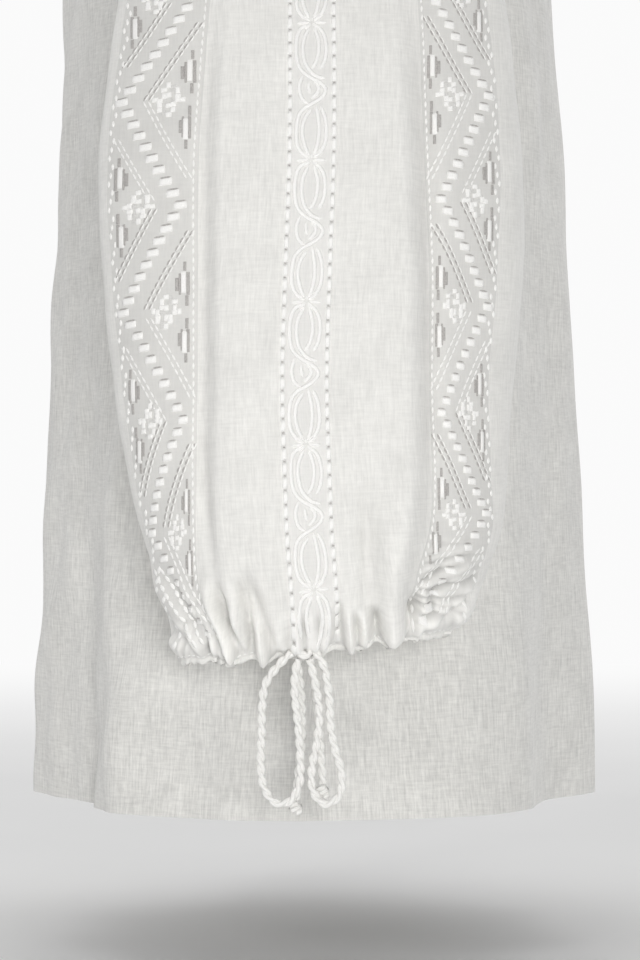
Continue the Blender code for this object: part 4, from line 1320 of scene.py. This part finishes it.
# ---------------------------------------------------------------- the drawstring
def twisted_cord(name, route, material, mirrored):
    """Two plies laid round each other along a route, closed at both ends."""
    ply_step = 0.00075
    sides = 10
    route = even_route(route, ply_step)
    length = len(route)
    way = unit(np.gradient(route, axis=0))
    aside = unit(np.cross(way, np.array([1.0, 0.02, 0.01])))
    lift = np.cross(way, aside)
    steps = np.arange(length) * ply_step
    turn = -steps / CORD_PITCH * 2 * math.pi
    points, weave, faces = [], [], []
    for ply in range(2):
        phase = (turn + math.pi * ply)[:, None]
        centre = route + (aside * np.cos(phase) + lift * np.sin(phase)) * CORD * 0.21
        for k in range(sides):
            angle = 2 * math.pi * k / sides
            points.append(centre + (aside * math.cos(angle) + lift * math.sin(angle)) * CORD * 0.285)
            weave.append(np.stack([np.full(length, k / sides * 0.008), steps], axis=-1))
        i, k = np.meshgrid(np.arange(length - 1), np.arange(sides), indexing="ij")
        first = ply * sides * length
        a = (first + k * length + i).ravel()
        b = (first + (k + 1) % sides * length + i).ravel()
        faces.append(np.stack([a, b, b + 1, a + 1], axis=-1))
    points = np.concatenate(points)
    cap_points, cap_faces = end_caps(points, length, sides)
    points = np.concatenate([points, cap_points])
    weave = np.concatenate(weave + [np.zeros((len(cap_points), 2))])
    faces = np.concatenate(faces + [cap_faces])
    piece = make_mesh(name, points, faces, material, weave, mirrored, smooth_angle=80)
    return piece, route


def end_caps(points, length, sides):
    """Quads that close both ends of both plies, two sides at a time round a middle point."""
    extra, faces = [], []
    for ply in range(2):
        base = ply * sides * length
        for end, turned in ((0, False), (length - 1, True)):
            ring = [base + k * length + end for k in range(sides)]
            middle = len(points) + len(extra)
            extra.append(points[ring].mean(axis=0))
            for k in range(0, sides, 2):
                face = [ring[k], middle, ring[(k + 2) % sides], ring[k + 1]]
                faces.append(face[::-1] if turned else face)
    return np.array(extra), np.array(faces)


# The cords' routes, in millimetres from the underside of the knot: out, back and up. Each loop
# goes down on its own side and comes back up close to the middle, and both free ends hang
# behind the loops.
CORD_ROUTES = {
    "front_loop": (
        (-1, -6.2, 3.0), (0, -12.5, -3.0), (0, -18.8, -12.0), (0, -20.5, -23.0), (0, -20.8, -36.0),
        (0, -21.2, -50.0), (0, -20.0, -62.0), (0, -14.5, -70.5), (0, -7.0, -70.0), (0, -2.0, -61.0),
        (0, -1.8, -48.0), (0, -2.6, -34.0), (0, -4.4, -18.0), (0, -4.2, -7.0), (0, -2.6, 0),
    ),
    "back_loop": (
        (-1, 6.2, 3.0), (0, 10.2, -4.0), (0, 11.8, -13.0), (0, 12.8, -22.0), (0, 13.2, -33.0),
        (0, 15.6, -45.0), (0, 18.6, -56.0), (0, 17.6, -67.0), (0, 10.6, -71.5), (0, 4.6, -65.0),
        (0, 4.0, -54.0), (0, 6.6, -40.0), (0, 7.8, -28.0), (0, 6.2, -14.0), (0, 3.0, 0),
    ),
    "front_end": (
        (0, -3.0, 0), (0, -2.0, -10.0), (0, -1.0, -25.0), (0, -1.2, -42.0), (0, -3.0, -60.0),
        (0, -4.0, -70.0),
    ),
    "back_end": (
        (0, 3.4, 0), (0, 5.0, -11.0), (0, 6.8, -26.0), (0, 8.0, -42.0), (0, 9.0, -56.0),
        (0, 9.4, -62.0),
    ),
}
# Centre line of the bow's knot: an arch of cord over a smaller turn, in millimetres out, back
# and up from the knot's middle.
KNOT_ROUTE = (
    (-1.5, -6.4, -3.4), (0.4, -5.2, 0.2), (1.6, -1.8, 2.9), (1.8, 1.8, 2.8), (1.2, 5.0, 0.4),
    (0.0, 6.4, -3.4), (-1.8, 4.0, -4.0), (-2.2, 0.4, -1.4), (0.6, -2.8, -0.8), (2.6, -1.9, -2.6),
    (2.4, 1.5, -3.0), (0.6, 3.0, -1.2), (-1.8, 0.6, 0.9),
)


def end_knot_route(radius):
    """A cord wound about twice round its own middle."""
    angle = np.linspace(0, 4.3 * math.pi, 40)
    reach = radius - CORD * 0.48
    return np.stack([
        np.cos(angle) * reach, np.sin(angle) * reach, np.linspace(-1, 1, len(angle)) * reach,
    ], axis=-1)


def add_knot(node, centre, route, material, mirrored):
    """A knot of the same cord, wound along a route round its centre."""
    piece, _ = twisted_cord(f"{node}_wound", centre + route, material, mirrored)
    seat(piece, node)
    return piece


def add_bow(side, material):
    """The bow on the CAD's knot: two loops that come back to it and two knotted free ends."""
    mirrored = side == "right"
    turned = np.array([-1.0 if mirrored else 1.0, 1.0, 1.0])
    low, high = (np.array(corner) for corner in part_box("left_bow_knot"))
    knot = (low + high) / 2
    knot[:2] = abs(knot[0]), BOW_Y
    bow = add_knot(f"{side}_bow_knot", knot, np.array(KNOT_ROUTE) * MM, material, mirrored)
    under = low[2] - CORD_GAP
    for name, offsets in CORD_ROUTES.items():
        node = f"{side}_{name}"
        is_loop = "loop" in name
        start = np.array([knot[0] + (LOOP_OUT if is_loop else -ENDS_BACK), BOW_Y, under])
        route = start + np.array(offsets) * MM
        piece, path = twisted_cord(f"{node}_cord", route, material, mirrored)
        if not is_loop:
            tip = route[-1] - (0, 0, END_KNOT + CORD_GAP)
            tip_route = end_knot_route(END_KNOT)
            add_knot(f"{node}_knot", tip, tip_route, material, mirrored)
        path = path * turned
        seat(piece, node)


# ---------------------------------------------------------------- studio
def add_camera():
    """A long lens level with the cuff, which looks at the outside of the left sleeve."""
    distance = 1.8
    plane_x = 0.290
    middle_y, middle_z = 0.004, -0.5125
    view_height = 0.480
    data = bpy.data.cameras.new("camera")
    data.sensor_fit = "VERTICAL"
    data.sensor_height = 36.0
    data.lens = 36.0 * distance / view_height
    camera = bpy.data.objects.new("camera", data)
    camera.location = (plane_x + distance, middle_y, middle_z)
    camera.rotation_euler = (math.radians(90), 0.0, math.radians(90))
    bpy.context.scene.collection.objects.link(camera)
    bpy.context.scene.camera = camera


def add_area_light(name, location, target, size, energy, colour):
    data = bpy.data.lights.new(name, "AREA")
    data.shape = "RECTANGLE"
    data.size = size
    data.size_y = size
    data.energy = energy
    data.color = colour
    light = bpy.data.objects.new(name, data)
    light.location = location
    way = np.array(target) - np.array(location)
    flat = math.hypot(way[0], way[1])
    light.rotation_euler = (math.atan2(flat, -way[2]), 0.0, math.atan2(way[1], way[0]) - math.pi / 2)
    bpy.context.scene.collection.objects.link(light)


def add_studio():
    material = floor_material()
    floor_z = HEM_Z - 0.085  # the hem hangs clear of it
    reach = 9.0
    ways = ((-1, -1), (1, -1), (1, 1), (-1, 1))
    corners = [(x * reach, y * reach, floor_z) for x, y in ways]
    floor = make_mesh("studio_floor", corners, [(0, 1, 2, 3)], material)
    cuff = (0.25, 0.0, -0.5)
    warm = (1.0, 0.992, 0.98)
    add_area_light("front", (3.4, 0.34, -0.42), cuff, 0.7, 49.5, warm)
    add_area_light("side", (2.4, -1.6, 0.55), cuff, 0.5, 9.0, warm)
    add_area_light("top", (0.3, 0.0, 2.4), (0.2, 0.0, -0.45), 2.6, 10.0, (1.0, 1.0, 1.0))
    add_world()


def add_world():
    """A white studio round the blouse, brightest on the side behind it."""
    world = bpy.data.worlds.new("studio")
    bpy.context.scene.world = world
    nodes = Nodes(world)
    background = nodes.tree.nodes["Background"]
    background.inputs["Color"].default_value = (1.0, 1.0, 1.0, 1.0)
    way = nodes.add("ShaderNodeTexCoord").outputs["Generated"]
    nodes.link(studio_light(nodes, way), background.inputs["Strength"])


# ---------------------------------------------------------------- everything
def make_materials():
    """The cloths, from their tone, contrast, relief and the strength of the painted shade in their
    creases, and the threads, from their light and dark tones and the fineness of their strands."""
    return {
        # The last number of a cloth is the strength of its painted crease shade and ridge light.
        "voile": voile_material("voile", (0.80, 0.795, 0.77), 0.10, 0.5, 0.13),
        # The body's voile is the sleeve's voile toned darker: painted shade for the light the sleeve
        # keeps off it and for the dark inside that shows through its single sheer layer.
        "body": voile_material("body_voile", (0.73, 0.725, 0.70), 0.19, 0.6),
        "strip": voile_material("strip_cotton", (0.785, 0.78, 0.76), 0.06, 0.3, 0.15),
        "band": voile_material("band_cotton", (0.69, 0.685, 0.665), 0.05, 0.25, 0.27),
        "white": thread_material("white_thread", (0.98, 0.975, 0.96), (0.88, 0.875, 0.86), 2600.0),
        "bright": thread_material("bright_thread", (0.99, 0.985, 0.97), (0.91, 0.905, 0.89), 2600.0),
        # Painted shadow lines and blocks beside raised stitches.
        "painted_shadows": thread_material("painted_shadow_ground", (0.72, 0.715, 0.70), (0.63, 0.625, 0.61), 1800.0),
        # Painted shade and dark sheen on the bands, and the painted shade of the strip's holes.
        "painted_shade_grey": thread_material("painted_shade_grey_thread", (0.52, 0.505, 0.49), (0.36, 0.345, 0.335), 1800.0),
        "cord": cord_material(),
    }


def build():
    add_camera()
    materials = make_materials()
    sleeve = sleeve_surface()
    chart = Chart(sleeve)
    for side in ("left", "right"):
        add_bow(side, materials["cord"])
    for side in ("left", "right"):
        add_sleeve(side, sleeve, materials)
        add_casing(side, sleeve, materials)
        embroider(side, chart, materials)
    front = body_surface(False, sleeve)
    back = body_surface(True, sleeve)
    add_body("front", *front, materials)
    add_body("back", *back, materials)
    add_neck_binding(front[0][-1], back[0][-1], sleeve["points"][-1], materials["voile"])
    add_studio()
    bpy.context.scene.view_settings.view_transform = "Standard"


build()
